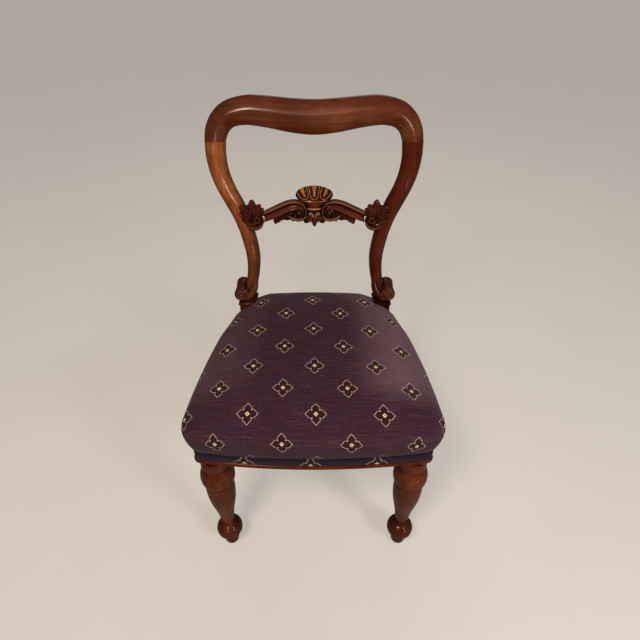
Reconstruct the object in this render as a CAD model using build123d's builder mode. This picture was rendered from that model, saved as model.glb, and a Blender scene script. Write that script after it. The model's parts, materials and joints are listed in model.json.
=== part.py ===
from build123d import *
import os
from math import cos, hypot, radians, sin, sqrt

# Balloon back chair with a turned front leg, a scrolled stile and an overstuffed seat.
# Millimetres. The front faces -Y, +Z is up, and the origin is on the floor under the middle.

# ---------------------------------------------------------------- driving dimensions

# Seat frame. The plan is four arcs: a bowed front, two bowed sides and a bowed back.
RAIL_BOTTOM = 335  # underside of the seat rails above the floor
RAIL_HEIGHT = 65
RAIL_THICKNESS = 24
FRAME_FRONT_HALF = 217  # half width over the front corners
FRAME_FRONT_Y = -218  # front corners, before they are rounded
FRAME_FRONT_BOW = 15
FRAME_SIDE_BOW = 14
FRAME_BACK_HALF = 163
FRAME_BACK_Y = 175
FRAME_BACK_BOW = 12
FRAME_CORNER_RADIUS = 6

# Front leg, from the floor up. The shaft takes the height that the turnings leave.
LEG_BLOCK = 48  # square block that the rails meet
LEG_BLOCK_DROP = 15  # the block reaches this far under the rails
FOOT_RADIUS = 13
FOOT_SWELL_RADIUS = 16
FOOT_HEIGHT = 33
COLLAR_RADIUS = 28.3
COLLAR_HEIGHT = 42
COLLAR_WIDEST = 0.6  # share of the collar's height at which it is widest
# Shaft: share of its height from the collar to the bulb, and radius there.
SHAFT_STATIONS = [
    (0, 13.8),
    (0.1, 14.2),
    (0.22, 16.2),
    (0.36, 19.2),
    (0.51, 23.8),
    (0.66, 27.6),
    (0.82, 29.4),
    (1, 28.6),
]
GROOVE_RADIUS = 27
BULB_RADIUS = 34.2
BULB_HEIGHT = 53
BULB_WIDEST = 0.42  # share of the bulb's height at which it is widest
NECK_RADIUS = 24
RING_RADIUS = 27.5
RING_HEIGHT = 27
LEG_FORWARD = 5  # the leg's axis is set this far into the bow of the front

# Post: the square length of the stile that the rails meet. The rear leg sweeps back below it.
POST_INSET = 8  # the post's axis lies this far inside the back corners of the frame
POST_Y = 154
POST_WIDTH = 38
POST_DEPTH = 42
POST_HEIGHT = 98  # above the underside of the rails
LEDGE_HEIGHT = 5
LEDGE_REACH = 2  # the ledge stands out this far round the post
LEDGE_CHAMFER = 1.7
REAR_FOOT_WIDTH = 27
REAR_FOOT_DEPTH = 29
REAR_FOOT_SWEEP = 72  # the foot lies this far behind the post
# Share of the height under the rails, and share of the sweep that the leg has there.
REAR_LEG_STATIONS = [(1, 0), (0.66, 0.08), (0.33, 0.38), (0, 1)]

# Back. The stiles and the crest rail lie about one raked plane.
RAKE = 0.19  # backward lean per unit of height
SECTION_ROUNDING = 0.40  # corner radius of a stile or crest section, as a share of its smaller side
# Height above the ledge, how far outside the post's axis the inner and the outer edge lie, and depth.
STILE_STATIONS = [
    (-6, -12, 14, 34),
    (14, -17, 10, 38),
    (34, -23, 3, 38),
    (66, -30, -3, 37),
    (100, -33, -4, 37),
    (131, -30, 1, 37),
    (160, -24, 8, 37),
    (190, -16, 19, 37),
    (220, -6, 34, 37),
    (251, 9, 49, 37),
    (281, 19, 59, 36),
    (313, 23, 64, 35),
    (342, 21, 64, 35),
]
# Crest shoulder: how far inside the joint, and how far above it, the inner and the outer edge lie.
SHOULDER_STATIONS = [
    (6, 14, 5, 26),
    (16, 24, 20, 51),
    (30, 28, 45, 70),
]
# Crest middle: half width and height above the joint of the inner and the outer edge.
CREST_STATIONS = [
    (126, 29, 132, 81),
    (90, 25, 91, 78.5),
    (45, 17.5, 45, 73.5),
    (0, 14, 0, 71),
]
CREST_DEPTH = 35

# Scroll at the foot of the stile.
SCROLL_OUTSET = 11.5  # the scroll's axis lies this far outside the post's
SCROLL_LIFT = 19.5  # scroll centre above the ledge
SCROLL_RADIUS = 16.5
SCROLL_LENGTH = 54
SCROLL_EYE_RADIUS = 5
SCROLL_EYE_PROUD = 1.5

# Leaf ear on the stile, which takes the end of the mid rail. Heights are above the mid rail's.
EAR_ROOT_INSET = 36  # the leaves spring from this far inside the post's axis
EAR_ROOT_LIFT = -7
EAR_ROOT_RADIUS = 12
EAR_LIP_INSET = 28
EAR_LIP_LIFT = -11
EAR_LIP_RADIUS = 21
EAR_DEPTH = 30
EAR_PROUD = 2.5  # in front of the stile
EAR_LEAF_WIDTH = 15
EAR_PAD_HEIGHT = 22  # flat on the ear that the rail butts against
EAR_LEAVES = [(103, 30), (73, 41), (42, 42), (14, 34)]  # direction in degrees and length

# Mid rail. Heights are above the level of its dowels.
MID_RAIL_LIFT = 194  # level of the dowels above the ledge
MID_RAIL_INSET = 49  # the rail ends this far inside the post's axis
MID_RAIL_DEPTH = 22
ARM_ROUNDING = 0.32  # corner radius of an arm's section, as a share of its height
ARM_STATIONS = [  # share of the way from the volute to the ear, middle height and section height
    (1, -2, 21),
    (0.67, 6, 22),
    (0.34, 13, 24),
    (0.03, 18, 24),
]
VOLUTE_X = 36
VOLUTE_LIFT = 9
VOLUTE_RADIUS = 20
VOLUTE_EYE_RADIUS = 6
SHELL_HALF_WIDTH = 39
SHELL_HALF_HEIGHT = 20
SHELL_LIFT = 44
SHELL_RIBS = 5
SHELL_FAN = 120  # degrees between the outer ribs
SHELL_FOOT_LIFT = 27
SHELL_RIB_REACH = 26
SHELL_RIB_SHORTEN = 6
SHELL_RIB_LENGTH = 30
SHELL_RIB_WIDTH = 11
SHELL_RIB_PROUD = 2.5
NECK_HALF_WIDTH = 17
NECK_MIDDLE = 16
NECK_HEIGHT = 34
MID_BAND_HALF_WIDTH = 18
MID_BAND_HEIGHT = 8
MID_BAND_LIFT = 14
MID_BAND_PROUD = 2
PENDANT_LENGTH = 40
PENDANT_MIDDLE = -2
PENDANT_HALF_WIDTH = 8.5
LOBE_X = 14
LOBE_LIFT = -3
LOBE_RADIUS = 9
LEAF_DEPTH = 14
LEAF_X = 54
LEAF_PITCH = 12
LEAF_LOBES = 3
LEAF_LIFT = -4
LEAF_HALF_WIDTH = 9
LEAF_HALF_HEIGHT = 11
LEAF_TILT = -25
DROP_SHARE = 0.67  # share of the way from the volute to the ear
DROP_LIFT = -8
DROP_HALF_WIDTH = 5.5
DROP_HALF_LENGTH = 12

# Show wood strip and fabric band along the bottom of the rails.
STRIP_THICKNESS = 6.5
STRIP_HEIGHT = 9
BAND_HEIGHT = 18
BAND_THICKNESS = 1.6
COVER_THICKNESS = 1.2
COVER_HEM = 12  # length of cover under the band

# Stuffed seat over the frame.
SEAT_SIDE_OVERHANG = 28
SEAT_FRONT_OVERHANG = 11
SEAT_BACK_OVERHANG = 9
SEAT_REAR_SIDE_OVERHANG = 8  # side overhang at the rear corners
SEAT_SHOULDER_HEIGHT = 38  # widest level above the top of the fabric band
SEAT_ROLL = 40  # height of the rounded edge above the widest level
SEAT_ROLL_POWER = 10  # a higher power gives a tighter edge
SEAT_DOME = 20  # further rise of the top towards its middle
# Share of the height up to the widest level, and share of the overhang that the side has there.
SEAT_SIDE_STATIONS = [(0, 0), (0.35, 0.68), (0.7, 0.94)]
CROWN_SHARES = [1, 0.985, 0.95, 0.88, 0.76, 0.58, 0.36, 0.14]  # sections of the crown, from the edge in
SEAT_CORNER_RADIUS = 46
SEAT_BACK_RADIUS = 70
CREASE_GROW = 3.2  # how far the cover stands off the rail just above the fabric band
WADDING_THICKNESS = 9

# Webbing and hessian.
WEB_WIDTH = 50
WEB_THICKNESS = 1.6
WEB_PITCH_ACROSS = 70
WEB_PITCH_ALONG = 95
WEB_MIDDLE_Y = -20
WEB_FOLD = 20
WEB_SETTLE = 2  # length of band that lies flat beyond each crossing
WEB_EDGE = 7  # from the outer face of the rail to the end of the band
HESSIAN_THICKNESS = 1
HESSIAN_INSET = 5

# Joinery.
DOWEL_RADIUS = 4
DOWEL_LENGTH = 40
RAIL_DOWEL_PITCH = 28
CREST_DOWEL_PITCH = 16
MID_DOWEL_RADIUS = 3
MID_DOWEL_LENGTH = 26
BLOCK_THICKNESS = 24
BLOCK_HEIGHT = 42
SCREW_RADIUS = 2.2
SCREW_LENGTH = 42
SCREW_HEAD_RADIUS = 4.2
SCREW_HEAD_HEIGHT = 2.4
SCREW_PITCH = 20
TACK_RADIUS = 0.8
TACK_LENGTH = 12
TACK_HEAD_RADIUS = 3
TACK_HEAD_HEIGHT = 0.7
COVER_TACK_LENGTH = 8
COVER_TACKS_FRONT = 9
COVER_TACKS_SIDE = 7
HOLE_CLEARANCE = 0.15  # round every dowel, screw and tack
GLUE_LINE = 0.1
SOFT_CLEARANCE = 0.3  # between layers of upholstery

# ---------------------------------------------------------------- sizes that follow

RAIL_TOP = RAIL_BOTTOM + RAIL_HEIGHT
RAIL_MIDDLE = RAIL_BOTTOM + RAIL_HEIGHT / 2
LEDGE_TOP = RAIL_BOTTOM + POST_HEIGHT + LEDGE_HEIGHT
POST_X = FRAME_BACK_HALF - POST_INSET
POST_FRONT = POST_Y - POST_DEPTH / 2
POST_INNER = POST_X - POST_WIDTH / 2
LEG_X = FRAME_FRONT_HALF - LEG_BLOCK / 2
LEG_Y = FRAME_FRONT_Y + LEG_BLOCK / 2 - LEG_FORWARD
LEG_INNER = LEG_X - LEG_BLOCK / 2
LEG_BACK = LEG_Y + LEG_BLOCK / 2
LEG_BLOCK_BOTTOM = RAIL_BOTTOM - LEG_BLOCK_DROP
MID_RAIL_Z = LEDGE_TOP + MID_RAIL_LIFT
JOINT_Z = LEDGE_TOP + STILE_STATIONS[-1][0]
JOINT_INNER = POST_X + STILE_STATIONS[-1][1]
JOINT_OUTER = POST_X + STILE_STATIONS[-1][2]
SCROLL_X = POST_X + SCROLL_OUTSET
EAR_ROOT_X = POST_X - EAR_ROOT_INSET
EAR_LIP_X = POST_X - EAR_LIP_INSET
MID_RAIL_END = POST_X - MID_RAIL_INSET
LEAN = sqrt(1 + RAKE**2)  # length along the rake per unit of height
STRIP_TOP = RAIL_BOTTOM + STRIP_HEIGHT
BAND_TOP = STRIP_TOP + SOFT_CLEARANCE + BAND_HEIGHT
HEM_FACE = SOFT_CLEARANCE + COVER_THICKNESS  # outer face of the hem, from the rail
BAND_BACK = HEM_FACE + TACK_HEAD_HEIGHT + SOFT_CLEARANCE
SHOULDER_Z = BAND_TOP + SEAT_SHOULDER_HEIGHT
WEB_UPPER = RAIL_TOP + WEB_THICKNESS + SOFT_CLEARANCE
WEB_STACK = max(2 * WEB_THICKNESS + TACK_HEAD_HEIGHT, 2 * WEB_THICKNESS + SOFT_CLEARANCE)
HESSIAN_BOTTOM = RAIL_TOP + WEB_STACK + SOFT_CLEARANCE
HESSIAN_TOP = HESSIAN_BOTTOM + HESSIAN_THICKNESS
SEAT_MIDDLE_Y = (FRAME_FRONT_Y + FRAME_BACK_Y) / 2


# ---------------------------------------------------------------- shared outlines


def seat_plan(z, front, side, back, rear_side, front_radius=0.0, back_radius=0.0, share=1.0):
    """Closed seat outline at one height, grown past the frame and scaled about its middle."""
    front_x, front_y = FRAME_FRONT_HALF + side, FRAME_FRONT_Y - front
    back_x, back_y_edge = FRAME_BACK_HALF + rear_side, FRAME_BACK_Y + back
    corners_and_bows = [
        (front_x, front_y),
        ((front_x + back_x) / 2 + FRAME_SIDE_BOW, (front_y + back_y_edge) / 2),
        (back_x, back_y_edge),
        (0, back_y_edge + FRAME_BACK_BOW),
        (0, front_y - FRAME_FRONT_BOW),
    ]
    placed = [(x * share, SEAT_MIDDLE_Y + (y - SEAT_MIDDLE_Y) * share) for x, y in corners_and_bows]
    front_right, right_bow, back_right, back_bow, front_bow = placed
    front_left, left_bow, back_left = [(-x, y) for x, y in placed[:3]]
    with BuildSketch(Plane.XY.offset(z)) as plan:
        with BuildLine():
            ThreePointArc(front_left, front_bow, front_right)
            ThreePointArc(front_right, right_bow, back_right)
            ThreePointArc(back_right, back_bow, back_left)
            ThreePointArc(back_left, left_bow, front_left)
        make_face()
        if front_radius > 0:
            fillet(plan.vertices().group_by(Axis.Y)[0], radius=front_radius * share)
        if back_radius > 0:
            fillet(plan.vertices().group_by(Axis.Y)[-1], radius=back_radius * share)
    return plan.sketch


def frame_outline(grow, z):
    """Seat frame outline grown by one amount all round."""
    return seat_plan(z, grow, grow, grow, grow, front_radius=max(FRAME_CORNER_RADIUS + grow, 0))


def frame_band(outer, inner, bottom, top):
    """Upright band between two grown frame outlines."""
    with BuildPart() as band:
        add(frame_outline(outer, bottom))
        extrude(amount=top - bottom)
        add(frame_outline(inner, bottom))
        extrude(amount=top - bottom, mode=Mode.SUBTRACT)
    return band.part


def side_face_x(y):
    """Half width of the frame's side face at one depth."""
    share = (y - FRAME_FRONT_Y) / (FRAME_BACK_Y - FRAME_FRONT_Y)
    chord = FRAME_FRONT_HALF + (FRAME_BACK_HALF - FRAME_FRONT_HALF) * share
    return chord + 4 * FRAME_SIDE_BOW * share * (1 - share)


def front_face_y(x):
    """Depth of the frame's front face at one half width."""
    return FRAME_FRONT_Y - FRAME_FRONT_BOW * (1 - (x / FRAME_FRONT_HALF) ** 2)


def back_face_y(x):
    """Depth of the frame's back face at one half width."""
    return FRAME_BACK_Y + FRAME_BACK_BOW * (1 - (x / FRAME_BACK_HALF) ** 2)


def back_y(z):
    """Depth of the raked plane of the back at one height."""
    return POST_Y + RAKE * (z - LEDGE_TOP)


def back_plane(x, z):
    """Plane that lies in the raked back, facing forward, with its origin at one point."""
    return Plane(origin=(x, back_y(z), z), x_dir=(1, 0, 0), z_dir=(0, -1, RAKE))


def across_plane(inner_x, inner_z, outer_x, outer_z):
    """Plane square to the back that runs from an inner to an outer edge."""
    inner = Vector(inner_x, back_y(inner_z), inner_z)
    outer = Vector(outer_x, back_y(outer_z), outer_z)
    across = outer - inner
    return Plane(origin=(inner + outer) * 0.5, x_dir=across, z_dir=across.cross(Vector(0, 1, -RAKE)))


def rounded_section(inner_x, inner_z, outer_x, outer_z, depth):
    """Rounded section of a stile or of the crest rail between its two edges."""
    width = hypot(outer_x - inner_x, (outer_z - inner_z) * LEAN)
    with BuildSketch(across_plane(inner_x, inner_z, outer_x, outer_z)) as section:
        RectangleRounded(width, depth, SECTION_ROUNDING * min(width, depth))
    return section.sketch


def pegs(places, radius, length, grow=0.0):
    """Round pegs centred on planes, along their normals, grown for the holes."""
    with BuildPart() as group:
        for place in places:
            with BuildSketch(place.offset(-length / 2 - grow)):
                Circle(radius + grow)
            extrude(amount=length + 2 * grow)
    return group.part


def both_sides(planes):
    """The given right-hand planes and their mirror images on the left."""
    mirrored = [
        Plane(
            origin=(-plane.origin.X, plane.origin.Y, plane.origin.Z),
            x_dir=(-plane.x_dir.X, plane.x_dir.Y, plane.x_dir.Z),
            z_dir=(-plane.z_dir.X, plane.z_dir.Y, plane.z_dir.Z),
        )
        for plane in planes
    ]
    return planes + mirrored


# ---------------------------------------------------------------- joinery places

RAIL_DOWEL_LEVELS = [RAIL_MIDDLE - RAIL_DOWEL_PITCH / 2, RAIL_MIDDLE + RAIL_DOWEL_PITCH / 2]
RAIL_JOINTS = [
    ((LEG_INNER, front_face_y(LEG_INNER) + RAIL_THICKNESS / 2), (1, 0, 0)),
    ((side_face_x(LEG_BACK) - RAIL_THICKNESS / 2, LEG_BACK), (0, 1, 0)),
    ((side_face_x(POST_FRONT) - RAIL_THICKNESS / 2, POST_FRONT), (0, 1, 0)),
    ((POST_INNER, back_face_y(POST_INNER) - RAIL_THICKNESS / 2), (1, 0, 0)),
]
rail_dowel_places = both_sides(
    [
        Plane(origin=(x, y, level), x_dir=(0, 0, 1), z_dir=direction)
        for (x, y), direction in RAIL_JOINTS
        for level in RAIL_DOWEL_LEVELS
    ]
)

joint_plane = across_plane(JOINT_INNER, JOINT_Z, JOINT_OUTER, JOINT_Z)
crest_dowel_places = both_sides(
    [
        Plane(origin=joint_plane.from_local_coords((shift, 0, 0)), z_dir=joint_plane.z_dir)
        for shift in (-CREST_DOWEL_PITCH / 2, CREST_DOWEL_PITCH / 2)
    ]
)

mid_dowel_places = both_sides(
    [Plane(origin=(MID_RAIL_END, back_y(MID_RAIL_Z), MID_RAIL_Z), x_dir=(0, 0, 1), z_dir=(1, 0, 0))]
)

rail_dowel_holes = pegs(rail_dowel_places, DOWEL_RADIUS, DOWEL_LENGTH, HOLE_CLEARANCE)
crest_dowel_holes = pegs(crest_dowel_places, DOWEL_RADIUS, DOWEL_LENGTH, HOLE_CLEARANCE)
mid_dowel_holes = pegs(mid_dowel_places, MID_DOWEL_RADIUS, MID_DOWEL_LENGTH, HOLE_CLEARANCE)

# Each corner block lies across a corner of the frame, against the leg block or the post.
# Its screws run through it at right angles. A plane's origin is on the face away from the corner.
DIAGONAL = sqrt(0.5)


def block_plane(corner_x, corner_y, toward_y):
    """Plane on the inner face of a corner block, with its normal towards the corner."""
    reach = (BLOCK_THICKNESS + GLUE_LINE) * DIAGONAL
    origin = (corner_x - reach, corner_y - reach * toward_y, RAIL_MIDDLE)
    return Plane(origin=origin, x_dir=(0, 0, 1), z_dir=(1, toward_y, 0))


front_block_plane = block_plane(LEG_INNER, LEG_BACK, -1)
rear_block_plane = block_plane(POST_INNER, POST_FRONT, 1)
screw_places = both_sides(
    [
        Plane(origin=plane.from_local_coords((shift, 0, 0)), x_dir=plane.x_dir, z_dir=plane.z_dir)
        for plane in (front_block_plane, rear_block_plane)
        for shift in (-SCREW_PITCH / 2, SCREW_PITCH / 2)
    ]
)


def screws(grow=0.0):
    """Corner block screws, their heads on the inner face of the blocks, grown for the holes."""
    with BuildPart() as group:
        for place in screw_places:
            with BuildSketch(place):
                Circle(SCREW_RADIUS + grow)
            extrude(amount=SCREW_LENGTH + grow)
            with BuildSketch(place):
                Circle(SCREW_HEAD_RADIUS)
            extrude(amount=-SCREW_HEAD_HEIGHT)
    return group.part


screw_holes = screws(HOLE_CLEARANCE)

# Webbing bands: the half widths or depths of their middles, and of both ends.
lengthwise_middles = [WEB_PITCH_ACROSS * step for step in (-1.5, -0.5, 0.5, 1.5)]
crosswise_middles = [WEB_MIDDLE_Y + WEB_PITCH_ALONG * step for step in (-1, 0, 1)]


def lengthwise_ends(x):
    """Front and back end of the band at one half width."""
    return front_face_y(abs(x)) + WEB_EDGE, back_face_y(abs(x)) - WEB_EDGE


def crosswise_end(y):
    """Half length of the band at one depth, short enough for the tapering frame."""
    return side_face_x(y + WEB_WIDTH / 2) - WEB_EDGE


def web_tack_points():
    """Three tacks across the folded end of each band."""
    rows = [shift * WEB_WIDTH / 3 for shift in (-1, 0, 1)]
    points = []
    for x in lengthwise_middles:
        front, back = lengthwise_ends(x)
        for end in (front + WEB_FOLD / 2, back - WEB_FOLD / 2):
            points += [(x + row, end) for row in rows]
    for y in crosswise_middles:
        end = crosswise_end(y) - WEB_FOLD / 2
        for side in (-end, end):
            points += [(side, y + row) for row in rows]
    return points


WEB_TACK_SEAT = RAIL_TOP + 2 * WEB_THICKNESS


def web_tacks(grow=0.0):
    """Tacks through the folded webbing into the rails, grown for their holes."""
    with BuildPart() as group:
        with BuildSketch(Plane.XY.offset(WEB_TACK_SEAT)):
            with Locations(*web_tack_points()):
                Circle(TACK_RADIUS + grow)
        extrude(amount=-TACK_LENGTH - grow)
        with BuildSketch(Plane.XY.offset(WEB_TACK_SEAT)):
            with Locations(*web_tack_points()):
                Circle(TACK_HEAD_RADIUS)
        extrude(amount=TACK_HEAD_HEIGHT)
    return group.part


web_tack_holes = web_tacks(HOLE_CLEARANCE)

# Cover tacks stand square to the hem, under the fabric band.
COVER_TACK_LEVEL = BAND_TOP - COVER_HEM / 2
hem_outline = frame_outline(HEM_FACE, COVER_TACK_LEVEL)
hem_edges = hem_outline.edges()
hem_front = hem_edges.sort_by(Axis.Y)[0]
hem_side = hem_edges.filter_by(lambda edge: edge.center().X > POST_INNER).sort_by(SortBy.LENGTH)[-1]


def tack_plane(edge, share):
    """Plane on the hem at a share of an edge's length, with its normal into the rail."""
    point = edge.position_at(share)
    tangent = edge.tangent_at(share)
    inward = tangent.cross(Vector(0, 0, 1))
    if inward.dot(Vector(0, SEAT_MIDDLE_Y, point.Z) - point) < 0:
        inward = -inward
    return Plane(origin=point, x_dir=tangent, z_dir=inward)


cover_tack_places = [
    tack_plane(hem_front, (step + 0.5) / COVER_TACKS_FRONT) for step in range(COVER_TACKS_FRONT)
]
side_tack_places = [tack_plane(hem_side, (step + 0.5) / COVER_TACKS_SIDE) for step in range(COVER_TACKS_SIDE)]
side_tack_places = [
    place for place in side_tack_places if place.origin.Y < POST_FRONT - 2 * TACK_HEAD_RADIUS
]
cover_tack_places += both_sides(side_tack_places)


def cover_tacks_group(grow=0.0):
    """Tacks through the hem of the cover into the rails, grown for their holes."""
    with BuildPart() as group:
        for place in cover_tack_places:
            with BuildSketch(place):
                Circle(TACK_RADIUS + grow)
            extrude(amount=COVER_TACK_LENGTH + grow)
            with BuildSketch(place):
                Circle(TACK_HEAD_RADIUS)
            extrude(amount=-TACK_HEAD_HEIGHT)
    return group.part


cover_tack_holes = cover_tacks_group(HOLE_CLEARANCE)

# ---------------------------------------------------------------- crest rail

shoulder = [
    (JOINT_INNER - inner, JOINT_Z + inner_up, JOINT_OUTER - outer, JOINT_Z + outer_up)
    for inner, inner_up, outer, outer_up in SHOULDER_STATIONS
]
middle = [
    (inner, JOINT_Z + inner_up, outer, JOINT_Z + outer_up)
    for inner, inner_up, outer, outer_up in CREST_STATIONS
]
right_half = [(JOINT_INNER, JOINT_Z, JOINT_OUTER, JOINT_Z)] + shoulder + middle
left_half = [(-a, b, -c, d) for a, b, c, d in reversed(right_half[:-1])]


JOINT_DEPTH = STILE_STATIONS[-1][3]
crest_depths = [JOINT_DEPTH] + [CREST_DEPTH] * (len(right_half + left_half) - 2) + [JOINT_DEPTH]
crest_sections = [
    rounded_section(*station, depth) for station, depth in zip(right_half + left_half, crest_depths)
]

with BuildPart() as crest_rail:
    loft(crest_sections)
    add(crest_dowel_holes, mode=Mode.SUBTRACT)

# ---------------------------------------------------------------- stile with scroll, ear and rear leg

stile_sections = [
    rounded_section(POST_X + inner, LEDGE_TOP + height, POST_X + outer, LEDGE_TOP + height, depth)
    for height, inner, outer, depth in STILE_STATIONS
]
scroll_z = LEDGE_TOP + SCROLL_LIFT
scroll_front = back_y(scroll_z) - SCROLL_LENGTH / 2
scroll_plane = Plane(origin=(SCROLL_X, scroll_front, scroll_z), x_dir=(1, 0, 0), z_dir=(0, 1, 0))
stile_face = max(depth for height, inner, outer, depth in STILE_STATIONS) / 2
ear_plane = back_plane(0, MID_RAIL_Z).offset(stile_face + EAR_PROUD)

with BuildPart() as upper_stile:
    loft(stile_sections)

with BuildPart() as rear_leg:
    for height_share, sweep_share in REAR_LEG_STATIONS:
        width = REAR_FOOT_WIDTH + (POST_WIDTH - REAR_FOOT_WIDTH) * height_share
        depth = REAR_FOOT_DEPTH + (POST_DEPTH - REAR_FOOT_DEPTH) * height_share
        with BuildSketch(Plane.XY.offset(RAIL_BOTTOM * height_share)):
            with Locations((POST_X, POST_Y + REAR_FOOT_SWEEP * sweep_share)):
                Rectangle(width, depth)
    loft()

with BuildPart() as right_stile:
    with BuildSketch(Plane.XY.offset(RAIL_BOTTOM)):
        with Locations((POST_X, POST_Y)):
            Rectangle(POST_WIDTH, POST_DEPTH)
    extrude(amount=POST_HEIGHT)
    with BuildSketch(Plane.XY.offset(LEDGE_TOP - LEDGE_HEIGHT)):
        with Locations((POST_X, POST_Y)):
            Rectangle(POST_WIDTH + 2 * LEDGE_REACH, POST_DEPTH + 2 * LEDGE_REACH)
    extrude(amount=LEDGE_HEIGHT)
    ledge_rim = right_stile.faces().sort_by(Axis.Z)[-1].edges()
    chamfer(ledge_rim, length=LEDGE_CHAMFER)
    add(rear_leg.part)
    add(upper_stile.part)
    with BuildSketch(scroll_plane):
        Circle(SCROLL_RADIUS)
    extrude(amount=SCROLL_LENGTH)
    with BuildSketch(scroll_plane):
        Circle(SCROLL_EYE_RADIUS)
    extrude(amount=-SCROLL_EYE_PROUD)
    with BuildSketch(ear_plane):
        with Locations((EAR_LIP_X, EAR_LIP_LIFT)):
            Circle(EAR_LIP_RADIUS)
        with Locations((EAR_ROOT_X, EAR_ROOT_LIFT)):
            Circle(EAR_ROOT_RADIUS)
        with Locations((MID_RAIL_END, 0)):
            Rectangle(EAR_LIP_X - MID_RAIL_END, EAR_PAD_HEIGHT, align=(Align.MIN, Align.CENTER))
        for angle, length in EAR_LEAVES:
            middle_x = EAR_ROOT_X + cos(radians(angle)) * length / 2
            middle_y = EAR_ROOT_LIFT + sin(radians(angle)) * length / 2
            with Locations((middle_x, middle_y)):
                Ellipse(length / 2, EAR_LEAF_WIDTH / 2, rotation=angle)
    extrude(amount=-EAR_DEPTH)
    add(rail_dowel_holes, mode=Mode.SUBTRACT)
    add(crest_dowel_holes, mode=Mode.SUBTRACT)
    add(mid_dowel_holes, mode=Mode.SUBTRACT)
    add(screw_holes, mode=Mode.SUBTRACT)

with BuildPart() as left_stile:
    mirror(right_stile.part, about=Plane.YZ)

# ---------------------------------------------------------------- mid rail

mid_plane = back_plane(0, MID_RAIL_Z)


def toward_ear(share):
    """Half width at a share of the way from the volute to the ear."""
    return VOLUTE_X + (MID_RAIL_END - VOLUTE_X) * share


def arm_section(share, middle_height, height):
    """Upright rounded section of the right arm at a share of the way to the ear."""
    x = toward_ear(share)
    level = MID_RAIL_Z + middle_height
    plane = Plane(origin=(x, back_y(level), level), x_dir=(0, RAKE, 1), z_dir=(1, 0, 0))
    with BuildSketch(plane) as section:
        RectangleRounded(height * LEAN, MID_RAIL_DEPTH, height * ARM_ROUNDING)
    return section.sketch


with BuildPart() as right_arm:
    loft([arm_section(*station) for station in ARM_STATIONS])

with BuildPart() as mid_rail:
    # Shell: a low ellipse with raised ribs that fan out from its foot.
    with BuildSketch(mid_plane.offset(-MID_RAIL_DEPTH / 2)):
        with Locations((0, SHELL_LIFT * LEAN)):
            Ellipse(SHELL_HALF_WIDTH, SHELL_HALF_HEIGHT)
    extrude(amount=MID_RAIL_DEPTH - SHELL_RIB_PROUD)
    with BuildSketch(mid_plane.offset(-MID_RAIL_DEPTH / 2)):
        for step in range(SHELL_RIBS):
            angle = 90 + SHELL_FAN * (step / (SHELL_RIBS - 1) - 0.5)
            reach = SHELL_RIB_REACH - SHELL_RIB_SHORTEN * abs(angle - 90) / SHELL_FAN
            with Locations((reach * cos(radians(angle)), SHELL_FOOT_LIFT + reach * sin(radians(angle)))):
                Ellipse(SHELL_RIB_LENGTH / 2, SHELL_RIB_WIDTH / 2, rotation=angle)
    extrude(amount=MID_RAIL_DEPTH)
    # Neck, the band round it, and the pendant with a lobe on each side.
    with BuildSketch(mid_plane.offset(-MID_RAIL_DEPTH / 2)):
        with Locations((0, NECK_MIDDLE * LEAN)):
            Rectangle(2 * NECK_HALF_WIDTH, NECK_HEIGHT)
        with Locations((0, PENDANT_MIDDLE * LEAN)):
            Ellipse(PENDANT_HALF_WIDTH, PENDANT_LENGTH / 2)
        with Locations((-LOBE_X, LOBE_LIFT), (LOBE_X, LOBE_LIFT)):
            Circle(LOBE_RADIUS)
    extrude(amount=MID_RAIL_DEPTH - SHELL_RIB_PROUD)
    with BuildSketch(mid_plane.offset(-MID_RAIL_DEPTH / 2)):
        with Locations((0, MID_BAND_LIFT * LEAN)):
            SlotOverall(2 * MID_BAND_HALF_WIDTH, MID_BAND_HEIGHT)
    extrude(amount=MID_RAIL_DEPTH + MID_BAND_PROUD)
    # Arms, their volutes, and the leaf carving with its pointed drop.
    add(right_arm.part)
    mirror(right_arm.part, about=Plane.YZ)
    with BuildSketch(mid_plane.offset(-MID_RAIL_DEPTH / 2)):
        with Locations((-VOLUTE_X, VOLUTE_LIFT * LEAN), (VOLUTE_X, VOLUTE_LIFT * LEAN)):
            Circle(VOLUTE_RADIUS)
    extrude(amount=MID_RAIL_DEPTH)
    with BuildSketch(mid_plane.offset(MID_RAIL_DEPTH / 2)):
        with Locations((-VOLUTE_X, VOLUTE_LIFT * LEAN), (VOLUTE_X, VOLUTE_LIFT * LEAN)):
            Circle(VOLUTE_EYE_RADIUS)
    extrude(amount=MID_BAND_PROUD)
    with BuildSketch(mid_plane.offset(-LEAF_DEPTH / 2)):
        for side in (-1, 1):
            for step in range(LEAF_LOBES):
                with Locations((side * (LEAF_X + LEAF_PITCH * step), LEAF_LIFT)):
                    Ellipse(LEAF_HALF_WIDTH, LEAF_HALF_HEIGHT, rotation=side * LEAF_TILT)
            with Locations((side * toward_ear(DROP_SHARE), DROP_LIFT)):
                Ellipse(DROP_HALF_WIDTH, DROP_HALF_LENGTH)
    extrude(amount=LEAF_DEPTH)
    add(mid_dowel_holes, mode=Mode.SUBTRACT)

# ---------------------------------------------------------------- front legs

leg_axis = Axis((LEG_X, LEG_Y, 0), (0, 0, 1))
leg_profile_plane = Plane(origin=(LEG_X, LEG_Y, 0), x_dir=(1, 0, 0), z_dir=(0, -1, 0))
collar_bottom = FOOT_HEIGHT
collar_top = collar_bottom + COLLAR_HEIGHT
ring_bottom = LEG_BLOCK_BOTTOM - RING_HEIGHT
bulb_bottom = ring_bottom - BULB_HEIGHT
shaft_height = bulb_bottom - collar_top
shaft_points = [(radius, collar_top + share * shaft_height) for share, radius in SHAFT_STATIONS]

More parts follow.
